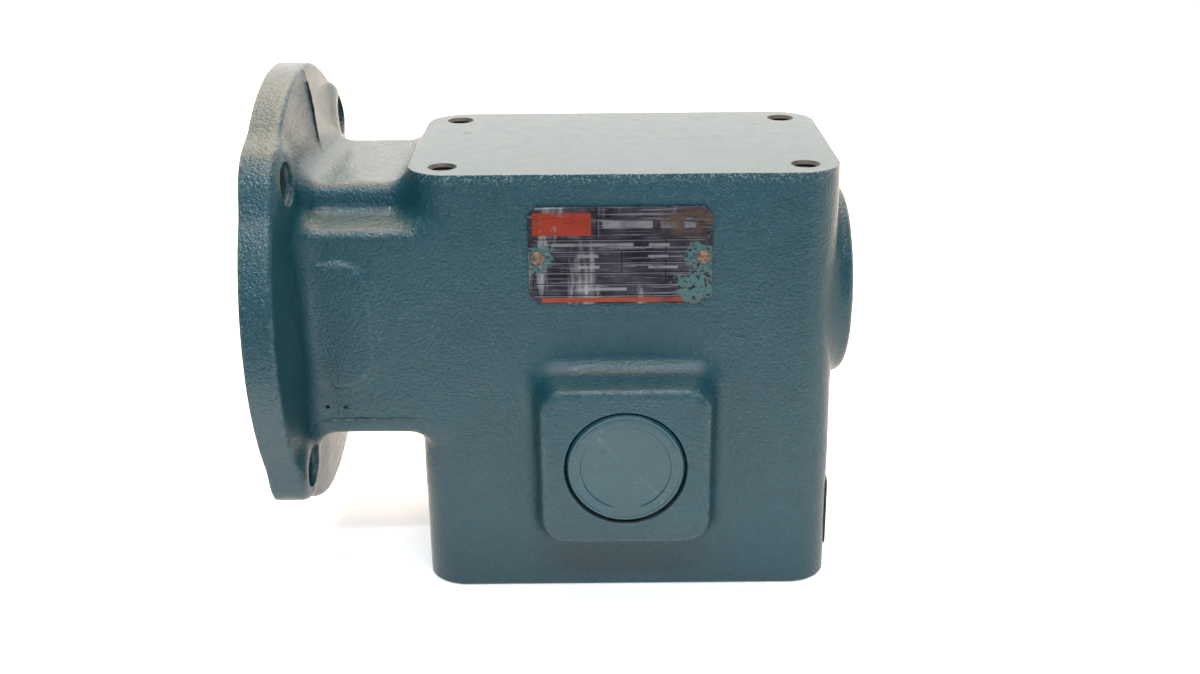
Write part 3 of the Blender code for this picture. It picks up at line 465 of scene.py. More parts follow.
def finish_shade(obj, angle=32.0):
    mesh = obj.data
    mesh.polygons.foreach_set("use_smooth", np.ones(len(mesh.polygons), bool))
    mesh.set_sharp_from_angle(angle=math.radians(angle))
    mesh.update()
    return obj


def rounded_profile(points, default=0.0):
    """A turned profile whose corners are rounded. points are (radius, along, corner radius)."""
    out = []
    n = len(points)
    for i, point in enumerate(points):
        r, a = point[0], point[1]
        corner = point[2] if len(point) > 2 else default
        if corner <= 0 or i in (0, n - 1):
            out.append((r, a))
            continue
        p = np.array([r, a], float)
        before = np.array(points[i - 1][:2], float) - p
        after = np.array(points[i + 1][:2], float) - p
        lb, la = np.linalg.norm(before), np.linalg.norm(after)
        before, after = before / lb, after / la
        half = math.acos(max(-1.0, min(1.0, float(before @ after)))) / 2
        reach = min(corner / max(math.tan(half), 1e-6), 0.48 * lb, 0.48 * la)
        radius = reach * math.tan(half)
        start, end = p + before * reach, p + after * reach
        bisector = before + after
        bisector /= np.linalg.norm(bisector)
        centre = p + bisector * (radius / math.sin(half))
        a0 = math.atan2(*(start - centre)[::-1])
        a1 = math.atan2(*(end - centre)[::-1])
        sweep = (a1 - a0 + math.pi) % (2 * math.pi) - math.pi
        steps = max(2, int(abs(sweep) / math.radians(15)) + 1)
        for k in range(steps + 1):
            angle = a0 + sweep * k / steps
            out.append((centre[0] + radius * math.cos(angle), centre[1] + radius * math.sin(angle)))
    return out


AXIS = {
    # columns: the profile's radial direction at angle 0, at 90 degrees, and along the axis
    "X": np.array([[0, 0, 1], [1, 0, 0], [0, 1, 0]], float),
    "Y": np.array([[1, 0, 0], [0, 0, 1], [0, 1, 0]], float),
    "Z": np.array([[1, 0, 0], [0, 1, 0], [0, 0, 1]], float),
}


def lathe(name, axis, at, profile, material=None, segments=96, collection=made, closed=False):
    """A turned body. profile is (radius, along) in mm; one that starts and ends on the axis closes there,
    and closed=True joins its last point to its first."""
    angles = np.linspace(0, 2 * math.pi, segments, endpoint=False)
    turn = AXIS[axis]
    at = np.array(at, float)
    vertices, rings = [], []
    for r, a in profile:
        if r < 1e-6:
            rings.append([len(vertices)])
            vertices.append(turn @ np.array([0, 0, a]) + at)
            continue
        ring = []
        for t in angles:
            ring.append(len(vertices))
            vertices.append(turn @ np.array([r * math.cos(t), r * math.sin(t), a]) + at)
        rings.append(ring)
    faces = []
    pairs = list(zip(rings, rings[1:]))
    if closed:
        pairs.append((rings[-1], rings[0]))
    for one, two in pairs:
        if len(one) == 1 and len(two) == 1:
            continue
        for k in range(segments):
            n = (k + 1) % segments
            if len(one) == 1:
                faces.append((one[0], two[k], two[n]))
            elif len(two) == 1:
                faces.append((one[k], two[0], one[n]))
            else:
                faces.append((one[k], two[k], two[n], one[n]))
    obj = object_from(name, np.array(vertices) * MM, faces, material, collection)
    bm = bmesh.new()
    bm.from_mesh(obj.data)
    bmesh.ops.recalc_face_normals(bm, faces=bm.faces)
    if bm.calc_volume(signed=True) < 0:
        bmesh.ops.reverse_faces(bm, faces=bm.faces)
    bm.to_mesh(obj.data)
    bm.free()
    return obj


def prism(name, low, high, material=None, bevel=0.0, segments=3, collection=made, edges=None):
    bm = bmesh.new()
    bmesh.ops.create_cube(bm, size=1.0)
    low, high = Vector(low) * MM, Vector(high) * MM
    for v in bm.verts:
        v.co = Vector(
            (
                (low.x + high.x) / 2 + v.co.x * (high.x - low.x),
                (low.y + high.y) / 2 + v.co.y * (high.y - low.y),
                (low.z + high.z) / 2 + v.co.z * (high.z - low.z),
            )
        )
    if bevel > 0:
        chosen = [e for e in bm.edges if edges is None or edges(e)]
        bmesh.ops.bevel(bm, geom=chosen, offset=bevel * MM, segments=segments, profile=0.5, affect="EDGES")
    mesh = bpy.data.meshes.new(name)
    bm.to_mesh(mesh)
    bm.free()
    obj = bpy.data.objects.new(name, mesh)
    collection.objects.link(obj)
    if material is not None:
        mesh.materials.append(material)
    return obj


def joined(name, objects, collection=tools):
    """One mesh holding separate bodies that don't touch each other."""
    bm = bmesh.new()
    for obj in objects:
        bm.from_mesh(obj.data)
    mesh = bpy.data.meshes.new(name)
    bm.to_mesh(mesh)
    bm.free()
    for obj in objects:
        bpy.data.objects.remove(obj, do_unlink=True)
    out = bpy.data.objects.new(name, mesh)
    collection.objects.link(out)
    return out


def carve(obj, cutters, operation="DIFFERENCE"):
    for cutter in cutters:
        mod = obj.modifiers.new("cut", "BOOLEAN")
        mod.operation = operation
        mod.solver = "MANIFOLD"
        mod.object = cutter
    bpy.context.view_layer.update()
    graph = bpy.context.evaluated_depsgraph_get()
    mesh = bpy.data.meshes.new_from_object(obj.evaluated_get(graph))
    obj.modifiers.clear()
    kept = [m for m in obj.data.materials if m is not None]
    old = obj.data
    obj.data = mesh
    bpy.data.meshes.remove(old)
    if kept:
        mesh.materials.clear()
        for material in kept:
            mesh.materials.append(material)
    for cutter in cutters:
        bpy.data.objects.remove(cutter, do_unlink=True)
    return obj


def rod(name, axis, at, start, end, radius, segments=64, collection=tools):
    return lathe(name, axis, at, [(0, start), (radius, start), (radius, end), (0, end)], None, segments, collection)


# ---------------------------------------------------------------- the casting's shape
def length2(a, b):
    return np.sqrt(a * a + b * b)


def rounded_rect(x, y, half_x, half_y, corner):
    qx, qy = np.abs(x) - half_x + corner, np.abs(y) - half_y + corner
    return np.minimum(np.maximum(qx, qy), 0) + length2(np.maximum(qx, 0), np.maximum(qy, 0)) - corner


def fillet(a, b, radius):
    """Union with a circular fillet."""
    return np.maximum(radius, np.minimum(a, b)) - length2(np.maximum(radius - a, 0), np.maximum(radius - b, 0))


def round_off(a, b, radius):
    """Intersection with a rounded edge."""
    return -fillet(-a, -b, radius)


def casting(x, y, z):
    """Distance to the casting's skin, negative inside. Machined faces are left long here and cut later."""
    right = BODY_RIGHT_BASE + (BODY_RIGHT_TOP - BODY_RIGHT_BASE) * z / HEIGHT
    body = rounded_rect(x - (right + BODY_LEFT) / 2, y, (right - BODY_LEFT) / 2, BODY_Y, 15.0)
    body = np.maximum(body, np.abs(z - 80.0) - 90.0)

    run = np.abs(x + 92.0) - 40.0
    middle = (NECK_LOW + NECK_LEDGE) / 2
    upper = rounded_rect(y, z - 136.0, 34.5 - 0.10 * (z - 148.0), NECK_TOP - 136.0, 3.6)
    slope = ((z - NECK_LEDGE) - 0.30 * (BODY_Y - np.abs(y))) / 1.044
    lower = rounded_rect(y, z - middle - 5.0, 47.2, (NECK_LEDGE - NECK_LOW) / 2 + 5.0, 4.0)
    lower = round_off(lower, slope, 2.2)
    neck = np.maximum(fillet(lower, upper, 2.6), run)

    around = length2(y, z - Z_IN)
    back = FLANGE_BACK + 3.4 * np.clip((FLANGE_R - around) / 27.0, 0, 1)
    disc = round_off(around - FLANGE_R, x - back, 1.8)
    lugs = None
    for ly, lz in BOLT_SPOTS:
        lug = round_off(length2(y - ly, z - lz) - LUG_R, x - FLANGE_BACK, 1.8)
        lugs = lug if lugs is None else np.minimum(lugs, lug)
    flange = np.maximum(fillet(disc, lugs, 7.0), -132.0 - x)

    shape = fillet(neck, flange, 8.5)
    # The neck's sides are flush with the body's, so its fillets stop at that plane.
    joint = round_off(fillet(shape, body, 8.0), np.abs(y) - 47.25, 3.0)
    shape = np.minimum(np.minimum(shape, body), np.where(around < FLANGE_R + 12, joint, 50.0))

    half = 30.0 + 3.5 * np.clip((y - PAD_FACE) / 14.2, 0, 1)
    pad = round_off(rounded_rect(x, z - Z_OUT, half, half, 9.0), PAD_FACE - y, 1.7)
    pad = np.maximum(pad, y + 38.0)
    shape = fillet(shape, pad, 5.0)

    boss = round_off(around - 35.9, x - 82.9, 3.0)
    boss = np.maximum(boss, 55.0 - x)
    shape = fillet(shape, boss, 5.0)

    # A low D-shaped boss on the neck's near face.
    plaque = rounded_rect(x + 101.0, z - 106.4, 12.0, 23.4, 11.6)
    plaque = round_off(plaque, -48.45 - y, 0.9)
    plaque = np.maximum(plaque, y + 40.0)
    shape = fillet(shape, plaque, 1.6)

    # A fin where the mould halves met, over the flange's back in the middle plane.
    fin = round_off(np.abs(y - 0.5) - 0.55, x - (back + 0.45), 0.4)
    fin = np.maximum(np.maximum(np.maximum(fin, around - 81.0), Z_IN + 40.0 - z), -125.0 - x)
    return fillet(shape, fin, 1.2)


def surface_nets(field, origin, step):
    """Vertices and quads of the zero level of a sampled field."""
    inside = field < 0
    n = np.array(field.shape)
    count = np.zeros(tuple(n - 1), np.uint8)
    for dx in (0, 1):
        for dy in (0, 1):
            for dz in (0, 1):
                count += inside[dx : n[0] - 1 + dx, dy : n[1] - 1 + dy, dz : n[2] - 1 + dz]
    active = (count > 0) & (count < 8)
    cells = np.argwhere(active)
    index = np.full(active.shape, -1, np.int64)
    index[active] = np.arange(len(cells))
    total = np.zeros((len(cells), 3))
    hits = np.zeros(len(cells))
    corners = [(dx, dy, dz) for dx in (0, 1) for dy in (0, 1) for dz in (0, 1)]
    values = {c: field[cells[:, 0] + c[0], cells[:, 1] + c[1], cells[:, 2] + c[2]] for c in corners}
    for a in corners:
        for axis in range(3):
            if a[axis] == 1:
                continue
            b = tuple(v + (k == axis) for k, v in enumerate(a))
            fa, fb = values[a], values[b]
            crossing = (fa < 0) != (fb < 0)
            t = np.where(crossing, fa / np.where(fa == fb, 1, fa - fb), 0)
            point = np.array(a, float)[None, :] + np.eye(3)[axis][None, :] * t[:, None]
            total += np.where(crossing[:, None], point, 0)
            hits += crossing
    vertices = (cells + total / hits[:, None]) * step + origin
    quads = []
    for axis in range(3):
        low = [slice(None)] * 3
        high = [slice(None)] * 3
        low[axis], high[axis] = slice(0, -1), slice(1, None)
        first, second = inside[tuple(low)], inside[tuple(high)]
        b, c = (axis + 1) % 3, (axis + 2) % 3
        for flip, crossing in ((False, first & ~second), (True, ~first & second)):
            at = np.argwhere(crossing)
            at = at[(at[:, b] > 0) & (at[:, c] > 0) & (at[:, b] < n[b] - 1) & (at[:, c] < n[c] - 1)]
            around = []
            for db, dc in ((-1, -1), (0, -1), (0, 0), (-1, 0)):
                cell = at.copy()
                cell[:, b] += db
                cell[:, c] += dc
                around.append(index[cell[:, 0], cell[:, 1], cell[:, 2]])
            quad = np.stack(around, axis=1)
            quads.append(quad[:, ::-1] if flip else quad)
    return vertices, np.concatenate(quads)


def gradient(p, reach=0.15):
    out = np.empty_like(p)
    for k in range(3):
        d = np.zeros(3)
        d[k] = reach
        out[:, k] = (casting(*(p + d).T) - casting(*(p - d).T)) / (2 * reach)
    return out


def ripples(p, wavelength, count, seed):
    """Smooth pseudo-random waviness from plane waves in fixed, seeded directions."""
    rng = np.random.default_rng(seed)
    total = np.zeros(len(p))
    for _ in range(count):
        direction = rng.normal(size=3)
        direction *= 2 * math.pi / (wavelength * rng.uniform(0.7, 1.5) * np.linalg.norm(direction))
        total += np.sin(p @ direction + rng.uniform(0, 2 * math.pi))
    return total / math.sqrt(count)


STEP = 1.42
low, high = np.array([-136.0, -86.0, -12.0]), np.array([86.0, 86.0, 194.0])
steps = np.ceil((high - low) / STEP).astype(int) + 1
gx = (low[0] + STEP * np.arange(steps[0]))[:, None, None]
gy = (low[1] + STEP * np.arange(steps[1]))[None, :, None]
gz = (low[2] + STEP * np.arange(steps[2]))[None, None, :]
field = np.broadcast_to(casting(gx, gy, gz), tuple(steps)).astype(np.float32)
points, quads = surface_nets(field, low, STEP)
for _ in range(3):
    slope = gradient(points)
    value = casting(*points.T)
    points -= slope * (value / np.maximum((slope * slope).sum(axis=1), 0.05))[:, None]
slope = gradient(points)
slope /= np.maximum(np.linalg.norm(slope, axis=1), 1e-6)[:, None]
wavy = 0.075 * ripples(points, 26.0, 14, 11) + 0.030 * ripples(points, 7.0, 22, 12)
wavy = np.minimum(wavy, 0.12)
points += slope * wavy[:, None]
points[:, 1] = np.maximum(points[:, 1], -FLANGE_R + 0.02)
points[:, 0] = np.minimum(points[:, 0], 82.88)

housing = object_from("housing_casting", points * MM, quads)


def frustum_ring(name, outline, z0, z1, z_far, inset, sign):
    """A cutter that leaves a flat face at z0 with a small chamfer round it. outline is (x, y, outward normal)."""
    top, rim, out, far = [], [], [], []
    for x, y, nx, ny in outline:
        top.append((x - nx * inset, y - ny * inset, z0))
        rim.append((x + nx * 0.6, y + ny * 0.6, z1))
        out.append((x + nx * 6.0, y + ny * 6.0, z1))
        far.append((x + nx * 6.0, y + ny * 6.0, z_far))
    n = len(outline)
    vertices = top + rim + out + far
    faces = []
    for i in range(n):
        j = (i + 1) % n
        faces.append((i, j, n + j, n + i))
        faces.append((n + i, n + j, 2 * n + j, 2 * n + i))
        faces.append((2 * n + i, 2 * n + j, 3 * n + j, 3 * n + i))
    faces.append(tuple(range(n)))
    faces.append(tuple(reversed(range(3 * n, 4 * n))))
    obj = object_from(name, np.array(vertices) * MM, faces, None, tools)
    bm = bmesh.new()
    bm.from_mesh(obj.data)
    bmesh.ops.recalc_face_normals(bm, faces=bm.faces)
    if bm.calc_volume(signed=True) < 0:
        bmesh.ops.reverse_faces(bm, faces=bm.faces)
    bm.to_mesh(obj.data)
    bm.free()
    return obj


def body_outline(z):
    right = BODY_RIGHT_BASE + (BODY_RIGHT_TOP - BODY_RIGHT_BASE) * z / HEIGHT
    out = []
    for cx, cy, start in (
        (right - 15, BODY_Y - 15, 0),
        (BODY_LEFT + 15, BODY_Y - 15, 90),
        (BODY_LEFT + 15, -BODY_Y + 15, 180),
        (right - 15, -BODY_Y + 15, 270),
    ):
        for k in range(17):
            a = math.radians(start + 90 * k / 16)
            out.append((cx + 15 * math.cos(a), cy + 15 * math.sin(a), math.cos(a), math.sin(a)))
    return out


def tap_profile(start, direction, depth):
    """A tapped hole's thread ridges, from a small countersink to the bottom."""
    pitch, minor, major = 1.5875, 4.0, 4.72
    points = [(0, start - direction * 3.0), (5.1, start - direction * 3.0), (5.1, start - direction * 0.001)]
    points.append((major, start + direction * 0.42))
    a = 0.42
    while a + pitch < depth:
        points.append((minor, start + direction * (a + pitch * 0.42)))
        points.append((minor, start + direction * (a + pitch * 0.55)))
        points.append((major, start + direction * (a + pitch * 0.95)))
        points.append((major, start + direction * (a + pitch * 1.0)))
        a += pitch
    points.append((minor, start + direction * depth))
    points.append((0, start + direction * (depth + 2.2)))
    return points


top_cut = frustum_ring("top_cut", body_outline(HEIGHT), HEIGHT, HEIGHT - 0.55, HEIGHT + 16, 0.15, 1)
base_cut = frustum_ring("base_cut", body_outline(0.0), 0.0, 0.7, -16, 0.3, -1)
face_cut = lathe(
    "face_cut",
    "X",
    (0, 0, Z_IN),
    [(0, -140), (98, -140), (98, FLANGE_FACE), (0, FLANGE_FACE)],
    None,
    96,
    tools,
)
chamber = prism("chamber", (-52, -37, 8), (47, 33, 152), collection=tools)
chamber_low = prism("chamber_low", (-67, -25, 9), (67, 24.5, 68), collection=tools)
chamber_left = prism("chamber_left", (-66.5, -24.5, 60), (-10, 24, 151), collection=tools)
front_bore = lathe(
    "front_bore",
    "X",
    (0, 0, Z_IN),
    [
        (0, FLANGE_FACE - 4), (57.9, FLANGE_FACE - 4), (57.9, FLANGE_FACE - 0.001), (57.15, FLANGE_FACE + 0.75),
        (57.15, FLANGE_FACE + 5), (31.6, FLANGE_FACE + 5), (31.0, FLANGE_FACE + 5.6), (31.0, -112), (32.9, -112),
        (32.9, -109.8), (31, -109.8), (31, -93), (26, -93), (26, -60), (0, -60),
    ],
    None,
    128,
    tools,
)
rear_bore = lathe(
    "rear_bore",
    "X",
    (0, 0, Z_IN),
    [
        (0, 40), (26, 40), (26, 52.2), (31, 52.2), (31, 69.9), (32.9, 69.9), (32.9, 72.1), (31, 72.1),
        (31, 82.2), (31.8, 83.0), (31.8, 90), (0, 90),
    ],
    None,
    128,
    tools,
)
near_bore = lathe(
    "near_bore",
    "Y",
    (0, 0, Z_OUT),
    [
        (0, PAD_FACE - 4), (22.3, PAD_FACE - 4), (22.3, PAD_FACE - 0.2), (21.95, PAD_FACE + 0.4), (21.95, -55.6),
        (18.5, -55.6), (18.5, -52.5), (22.9, -52.5), (22.9, -30), (0, -30),
    ],
    None,
    128,
    tools,
)
far_opening = rod("far_opening", "Y", (0, 0, Z_OUT), 28, 60, 43.6, 128)
flange_holes = joined(
    "flange_holes",
    [
        lathe(
            "hole",
            "X",
            (0, y, z),
            [
                (0, FLANGE_FACE - 3), (6.1, FLANGE_FACE - 3), (6.1, FLANGE_FACE - 0.001), (5.55, FLANGE_FACE + 0.55),
                (5.55, -108.0), (0, -108.0),
            ],
            None,
            48,
            tools,
        )
        for y, z in BOLT_SPOTS
    ],
)
spot_faces = joined(
    "spot_faces",
    [
        lathe(
            "spot",
            "X",
            (0, y, z),
            rounded_profile([(0, -115.7), (7.6, -115.7, 1.4), (8.2, -99.9), (0, -99.9)]),
            None,
            64,
            tools,
        )
        for y, z in BOLT_SPOTS
    ],
)
taps_top = joined(
    "taps_top",
    [
        lathe("tap", "Z", (x, y, 0), tap_profile(HEIGHT, -1, 15.0), None, 40, tools)
        for x in (-63.0, 63.0)
        for y in (-35.75, 35.75)
    ],
)
taps_base = joined(
    "taps_base",
    [
        lathe("tap", "Z", (x, y, 0), tap_profile(0.0, 1, 15.0), None, 40, tools)
        for x in (-63.0, 63.0)
        for y in (-35.75, 35.75)
    ],
)
pits = joined(
    "pits",
    [rod("pit", "Y", (x, 0, z), -51, -46.4, r, 14) for x, z, r in ((-107.4, 75.3, 0.75), (-101.0, 74.9, 0.85))],
)
carrier_taps = joined(
    "carrier_taps",
    [rod("tap", "Y", (x, 0, z), 36.5, 52, 3.3, 20) for x, z in CARRIER_SPOTS],
)
screw_holes = joined("screw_holes", [rod("pin", "Y", (x, 0, 131.3), -52, -41, 1.4, 16) for x in (-30.4, 27.4)])
carve(
    housing,
    [
        top_cut, base_cut, face_cut, chamber, chamber_low, chamber_left, front_bore, rear_bore, near_bore,
        far_opening, flange_holes, spot_faces, pits, taps_top, taps_base, carrier_taps, screw_holes,
    ],
)
mesh = housing.data
mesh.materials.clear()
for key in ("cast", "flat", "iron", "spigot"):
    mesh.materials.append(mat[key])
centres = np.empty(len(mesh.polygons) * 3, np.float32)
normals = np.empty(len(mesh.polygons) * 3, np.float32)
mesh.polygons.foreach_get("center", centres)
mesh.polygons.foreach_get("normal", normals)
centres = centres.reshape(-1, 3).astype(float) * 1000
normals = normals.reshape(-1, 3)
depth = casting(*centres.T)
kind = np.zeros(len(centres), np.int32)
kind[depth < -0.55] = 2
spot = (centres[:, 0] < -99.0) & (length2(centres[:, 1], centres[:, 2] - Z_IN) > 62.0)
kind[spot & (centres[:, 0] > -116.3)] = 0
kind[(np.abs(centres[:, 2] - HEIGHT) < 0.02) | (np.abs(centres[:, 2]) < 0.02)] = 1
kind[(np.abs(centres[:, 0] - FLANGE_FACE) < 0.02)] = 3
kind[(centres[:, 0] < -120.0) & (length2(centres[:, 1], centres[:, 2] - Z_IN) < 58.0)] = 3
mesh.polygons.foreach_set("material_index", kind)
finish_shade(housing, 34.0)
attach(housing, "housing_body")
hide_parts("housing")


def on_skin(p):
    """The nearest point of the casting's skin, with its outward normal."""
    p = np.array([p], float)
    for _ in range(4):
        g = gradient(p)
        p = p - g * (casting(*p.T) / np.maximum((g * g).sum(axis=1), 0.05))[:, None]
    g = gradient(p)[0]
    return p[0], g / np.linalg.norm(g)


def bead(name, guide, radius, lift, material, per_mm=1.2):
    """A thin line that follows the casting's skin: a ridge of metal, or, with the gap material, a painted shadow line.
    """
    guide = np.array(guide, float)
    spans = np.linalg.norm(np.diff(guide, axis=0), axis=1)
    along = np.concatenate([[0], np.cumsum(spans)])
    where = np.linspace(0, along[-1], max(4, int(along[-1] * per_mm)))
    path = np.stack([np.interp(where, along, guide[:, k]) for k in range(3)], axis=1)
    curve = bpy.data.curves.new(name, "CURVE")
    curve.dimensions = "3D"
    curve.bevel_depth = radius * MM
    curve.bevel_resolution = 2
    curve.use_fill_caps = True
    spline = curve.splines.new("POLY")
    spline.points.add(len(path) - 1)
    for k, p in enumerate(path):
        q, n = on_skin(p)
        q = q + n * lift
        spline.points[k].co = (*(q * MM), 1.0)
        taper = min(1.0, 0.25 + 4.0 * min(k, len(path) - 1 - k) / len(path))
        wobble = 1.0 + 0.35 * math.sin(k * 1.7) * math.sin(k * 0.61)
        spline.points[k].radius = taper * wobble
    obj = bpy.data.objects.new(name, curve)
    made.objects.link(obj)
    curve.materials.append(material)
    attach(obj, "housing_body")
    return obj


bead(
    "mould_flash_near",
    [(-76, -47.2, 69.9), (-100, -47.2, 69.9), (-109.0, -47.2, 69.8), (-112.5, -49.5, 69.0), (-114.2, -54, 68.4), (-115, -60.0, 68.8)],
    0.36,
    0.14,
    mat["cast"],
)
bead(
    "mould_flash_far",
    [(-76, 47.2, 69.9), (-100, 47.2, 69.9), (-109.0, 47.2, 69.8), (-112.5, 49.5, 69.0), (-114.2, 54, 68.4), (-115, 60.0, 68.8)],
    0.34,
    0.13,
    mat["cast"],
)
# Painted shadow: a near-black line over the flange's back where the mould halves meet.
bead(
    "mould_gap_shadow_top",
    [(-113.6, -0.75, 184.0), (-112.6, -0.75, 176), (-112.0, -0.75, 168), (-111.4, -0.75, 161)],
    0.36,
    0.05,
    mat["gap_shadow"],
)

# ---------------------------------------------------------------- turned pieces
def turned(node, body, axis, at, profile, material, segments=96, angle=32.0, name=None, closed=False):
    obj = lathe(name or node + "_fine", axis, at, rounded_profile(profile), material, segments, made, closed)
    finish_shade(obj, angle)
    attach(obj, body)
    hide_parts(node)
    return obj


OUT = (0, 0, Z_OUT)
INP = (0, 0, Z_IN)

cap = lathe(
    "bearing_end_cap_fine",
    "Y",
    OUT,
    rounded_profile(
        [
            (0, -60.70), (16.1, -60.70, 0.12), (16.35, -61.18, 0.10), (19.35, -61.24, 0.05), (19.55, -61.12, 0.05),
            (19.75, -61.24, 0.05), (20.5, -61.30, 0.3), (21.35, -60.3, 0.7), (21.35, -55.9, 0.2), (19.2, -55.9),
            (19.2, -58.6), (0, -58.6),
        ]
    ),
    mat["cap"],
    144,
)
# Plain ticks stand where a maker would mould marks.
bm = bmesh.new()
bm.from_mesh(cap.data)
for degrees, width, count in (
    (118, 1.9, 7), (142, 1.9, 6), (176, 2.4, 3), (196, 1.8, 3), (232, 1.8, 5), (268, 1.9, 4), (306, 2.6, 1),
    (345, 1.9, 4), (8, 1.9, 4), (36, 2.4, 1), (70, 1.9, 4), (92, 2.4, 1),
):
    for k in range(count):
        a = math.radians(degrees + (k - count / 2) * 3.1)
        tall = 0.75 if k % 3 else 1.1
        made_verts = bmesh.ops.create_cube(bm, size=1.0)["verts"]
        place = (
            Matrix.Translation(Vector((18.0 * math.cos(a), -61.20, Z_OUT + 18.0 * math.sin(a))) * MM)
            @ Matrix.Rotation(-a, 4, "Y")
            @ Matrix.Diagonal((tall * 1.25 * MM, 0.20 * MM, (0.30 if k % 2 else 0.42) * width / 1.9 * MM, 1))
        )
        bmesh.ops.transform(bm, matrix=place, verts=made_verts)
bm.to_mesh(cap.data)
bm.free()
finish_shade(cap)
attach(cap, "housing_body")
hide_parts("bearing_end_cap")

turned(
    "rear_bore_plug", "housing_body", "X", INP,
    [(0, 76.6), (28, 76.6), (28, 73.6), (30.7, 73.6), (30.7, 79.9, 1.2), (27.0, 80.45, 0.8), (26.2, 79.9, 0.5), (0, 79.9)],
    mat["cap"], 128,
)
turned(
    "input_oil_seal", "housing_body", "X", INP,
    [
        (30.7, -120.3, 0.4), (30.7, -112.7), (28.7, -112.7), (28.7, -118.3), (19.0, -118.3), (17.4, -113.9),
        (15.2, -114.9, 0.2), (16.6, -120.3, 0.4), (20.5, -120.3, 0.3), (21.3, -119.7, 0.3), (27.2, -119.7, 0.3), (28.0, -120.3, 0.3),
    ],
    mat["rubber"], 128, closed=True,
)
turned(
    "output_oil_seal", "housing_body", "Y", OUT,
    [
        (20.7, 61.2, 0.4), (20.7, 53.6), (18.7, 53.6), (18.7, 59.2), (16.7, 59.2), (15.1, 54.8), (12.9, 55.8, 0.2),
        (14.2, 61.2, 0.4), (16.0, 61.2, 0.3), (16.6, 60.6, 0.3), (18.3, 60.6, 0.3), (18.9, 61.2, 0.3),
    ],
    mat["rubber"], 128, closed=True,
)

carrier = lathe(
    "output_carrier_fine", "Y", OUT,
    rounded_profile(
        [
            (25.4, 34.6), (43.3, 34.6), (43.3, 48.3), (55.0, 48.3), (55.0, 56.5, 1.8), (34.6, 56.5, 3.0),
            (33.0, 61.5, 1.0), (21.6, 61.5), (21.0, 60.9), (21.0, 52.6), (17.0, 52.6), (17.0, 48.2), (25.4, 48.2),
        ]
    ),
    mat["cast"], 144, made, True,
)
carve(
    carrier,
    [
        joined("carrier_holes", [rod("hole", "Y", (x, 0, z), 46.5, 60, 3.6, 32) for x, z in CARRIER_SPOTS]),
        joined(
            "carrier_seats",
            [
                lathe("seat", "Y", (x, 0, z), rounded_profile([(0, 56.2), (7.6, 56.2, 0.4), (7.6, 62), (0, 62)]), None, 48, tools)
                for x, z in CARRIER_SPOTS
            ],
        ),
    ],
)
finish_shade(carrier)
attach(carrier, "housing_body")
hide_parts("output_carrier")


def hexagon_head(name, x, z, turn):
    """A bolt head with a washer face and a domed, chamfered top."""
    head = bmesh.new()
    rows = ((5.0, 56.5), (5.8, 56.8), (5.8, 60.2), (5.25, 60.8), (4.2, 61.0), (0.0, 61.0))
    sides = 48
    rings = []
    for r, y in rows:
        ring = []
        for k in range(sides if r > 0 else 1):
            a = 2 * math.pi * k / sides
            within = ((a + math.pi / 6) % (math.pi / 3)) - math.pi / 6
            hexed = 5.02 / math.cos(within)
            radius = min(r, hexed)
            ring.append(head.verts.new(Vector((radius * math.cos(a + turn), 0, radius * math.sin(a + turn))) * MM + Vector((x, y, z)) * MM))
        rings.append(ring)
    for one, two in zip(rings, rings[1:]):
        for k in range(sides):
            n = (k + 1) % sides
            if len(two) == 1:
                head.faces.new((one[k], one[n], two[0]))
            else:
                head.faces.new((one[k], one[n], two[n], two[k]))
    head.faces.new(list(reversed(rings[0])))
    bmesh.ops.recalc_face_normals(head, faces=head.faces)
    mesh = bpy.data.meshes.new(name)
    head.to_mesh(mesh)
    head.free()
    obj = bpy.data.objects.new(name, mesh)
    made.objects.link(obj)
    mesh.materials.append(mat["bolt"])
    return obj


for number, (x, z) in enumerate(CARRIER_SPOTS, start=1):
    head = hexagon_head(f"carrier_bolt_{number}_head", x, z, math.radians(17.0 * number))
    shank = lathe("shank", "Y", (x, 0, z), [(0, 38.2), (2.6, 38.2), (3.0, 38.8), (3.0, 56.45), (0, 56.45)], None, 24, tools)
    bm = bmesh.new()
    bm.from_mesh(head.data)
    bm.from_mesh(shank.data)
    bm.to_mesh(head.data)
    bm.free()
    bpy.data.objects.remove(shank, do_unlink=True)
    finish_shade(head, 28.0)
    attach(head, "housing_body")
    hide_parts(f"carrier_bolt_{number}")

shaft = lathe(
    "output_shaft_fine", "Y", OUT,
    rounded_profile(
        [
            (0, -52.0), (8.9, -52.0), (9.525, -51.4), (9.525, -34.0), (14.3, -34.0), (14.3, 14.0), (18.0, 14.0),
            (18.0, 19.0), (12.7, 19.0), (12.7, 117.8, 0.3), (11.6, 119.0, 0.3), (3.2, 119.0), (0, 116.2),
        ]
    ),
    mat["steel_y"], 144,
)
key_slot = prism("key_slot", (-3.175, 68, Z_OUT + 9.5), (3.175, 117, Z_OUT + 20), collection=tools)
key_slot_end = rod("key_slot_end", "Z", (0, 68, 0), Z_OUT + 9.5, Z_OUT + 20, 3.175, 48)
gear_slot = prism("gear_slot", (-3.175, -11.5, Z_OUT + 11.1), (3.175, 11.5, Z_OUT + 20), collection=tools)
carve(shaft, [key_slot, key_slot_end, gear_slot])
finish_shade(shaft)
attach(shaft, "output_rotor")
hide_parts("output_shaft")

key = prism("output_key_fine", (-3.025, 68.3, Z_OUT + 9.8), (3.025, 116.7, Z_OUT + 15.9), mat["key"], 0.35, 3)
finish_shade(key)
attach(key, "output_rotor")
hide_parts("output_key")

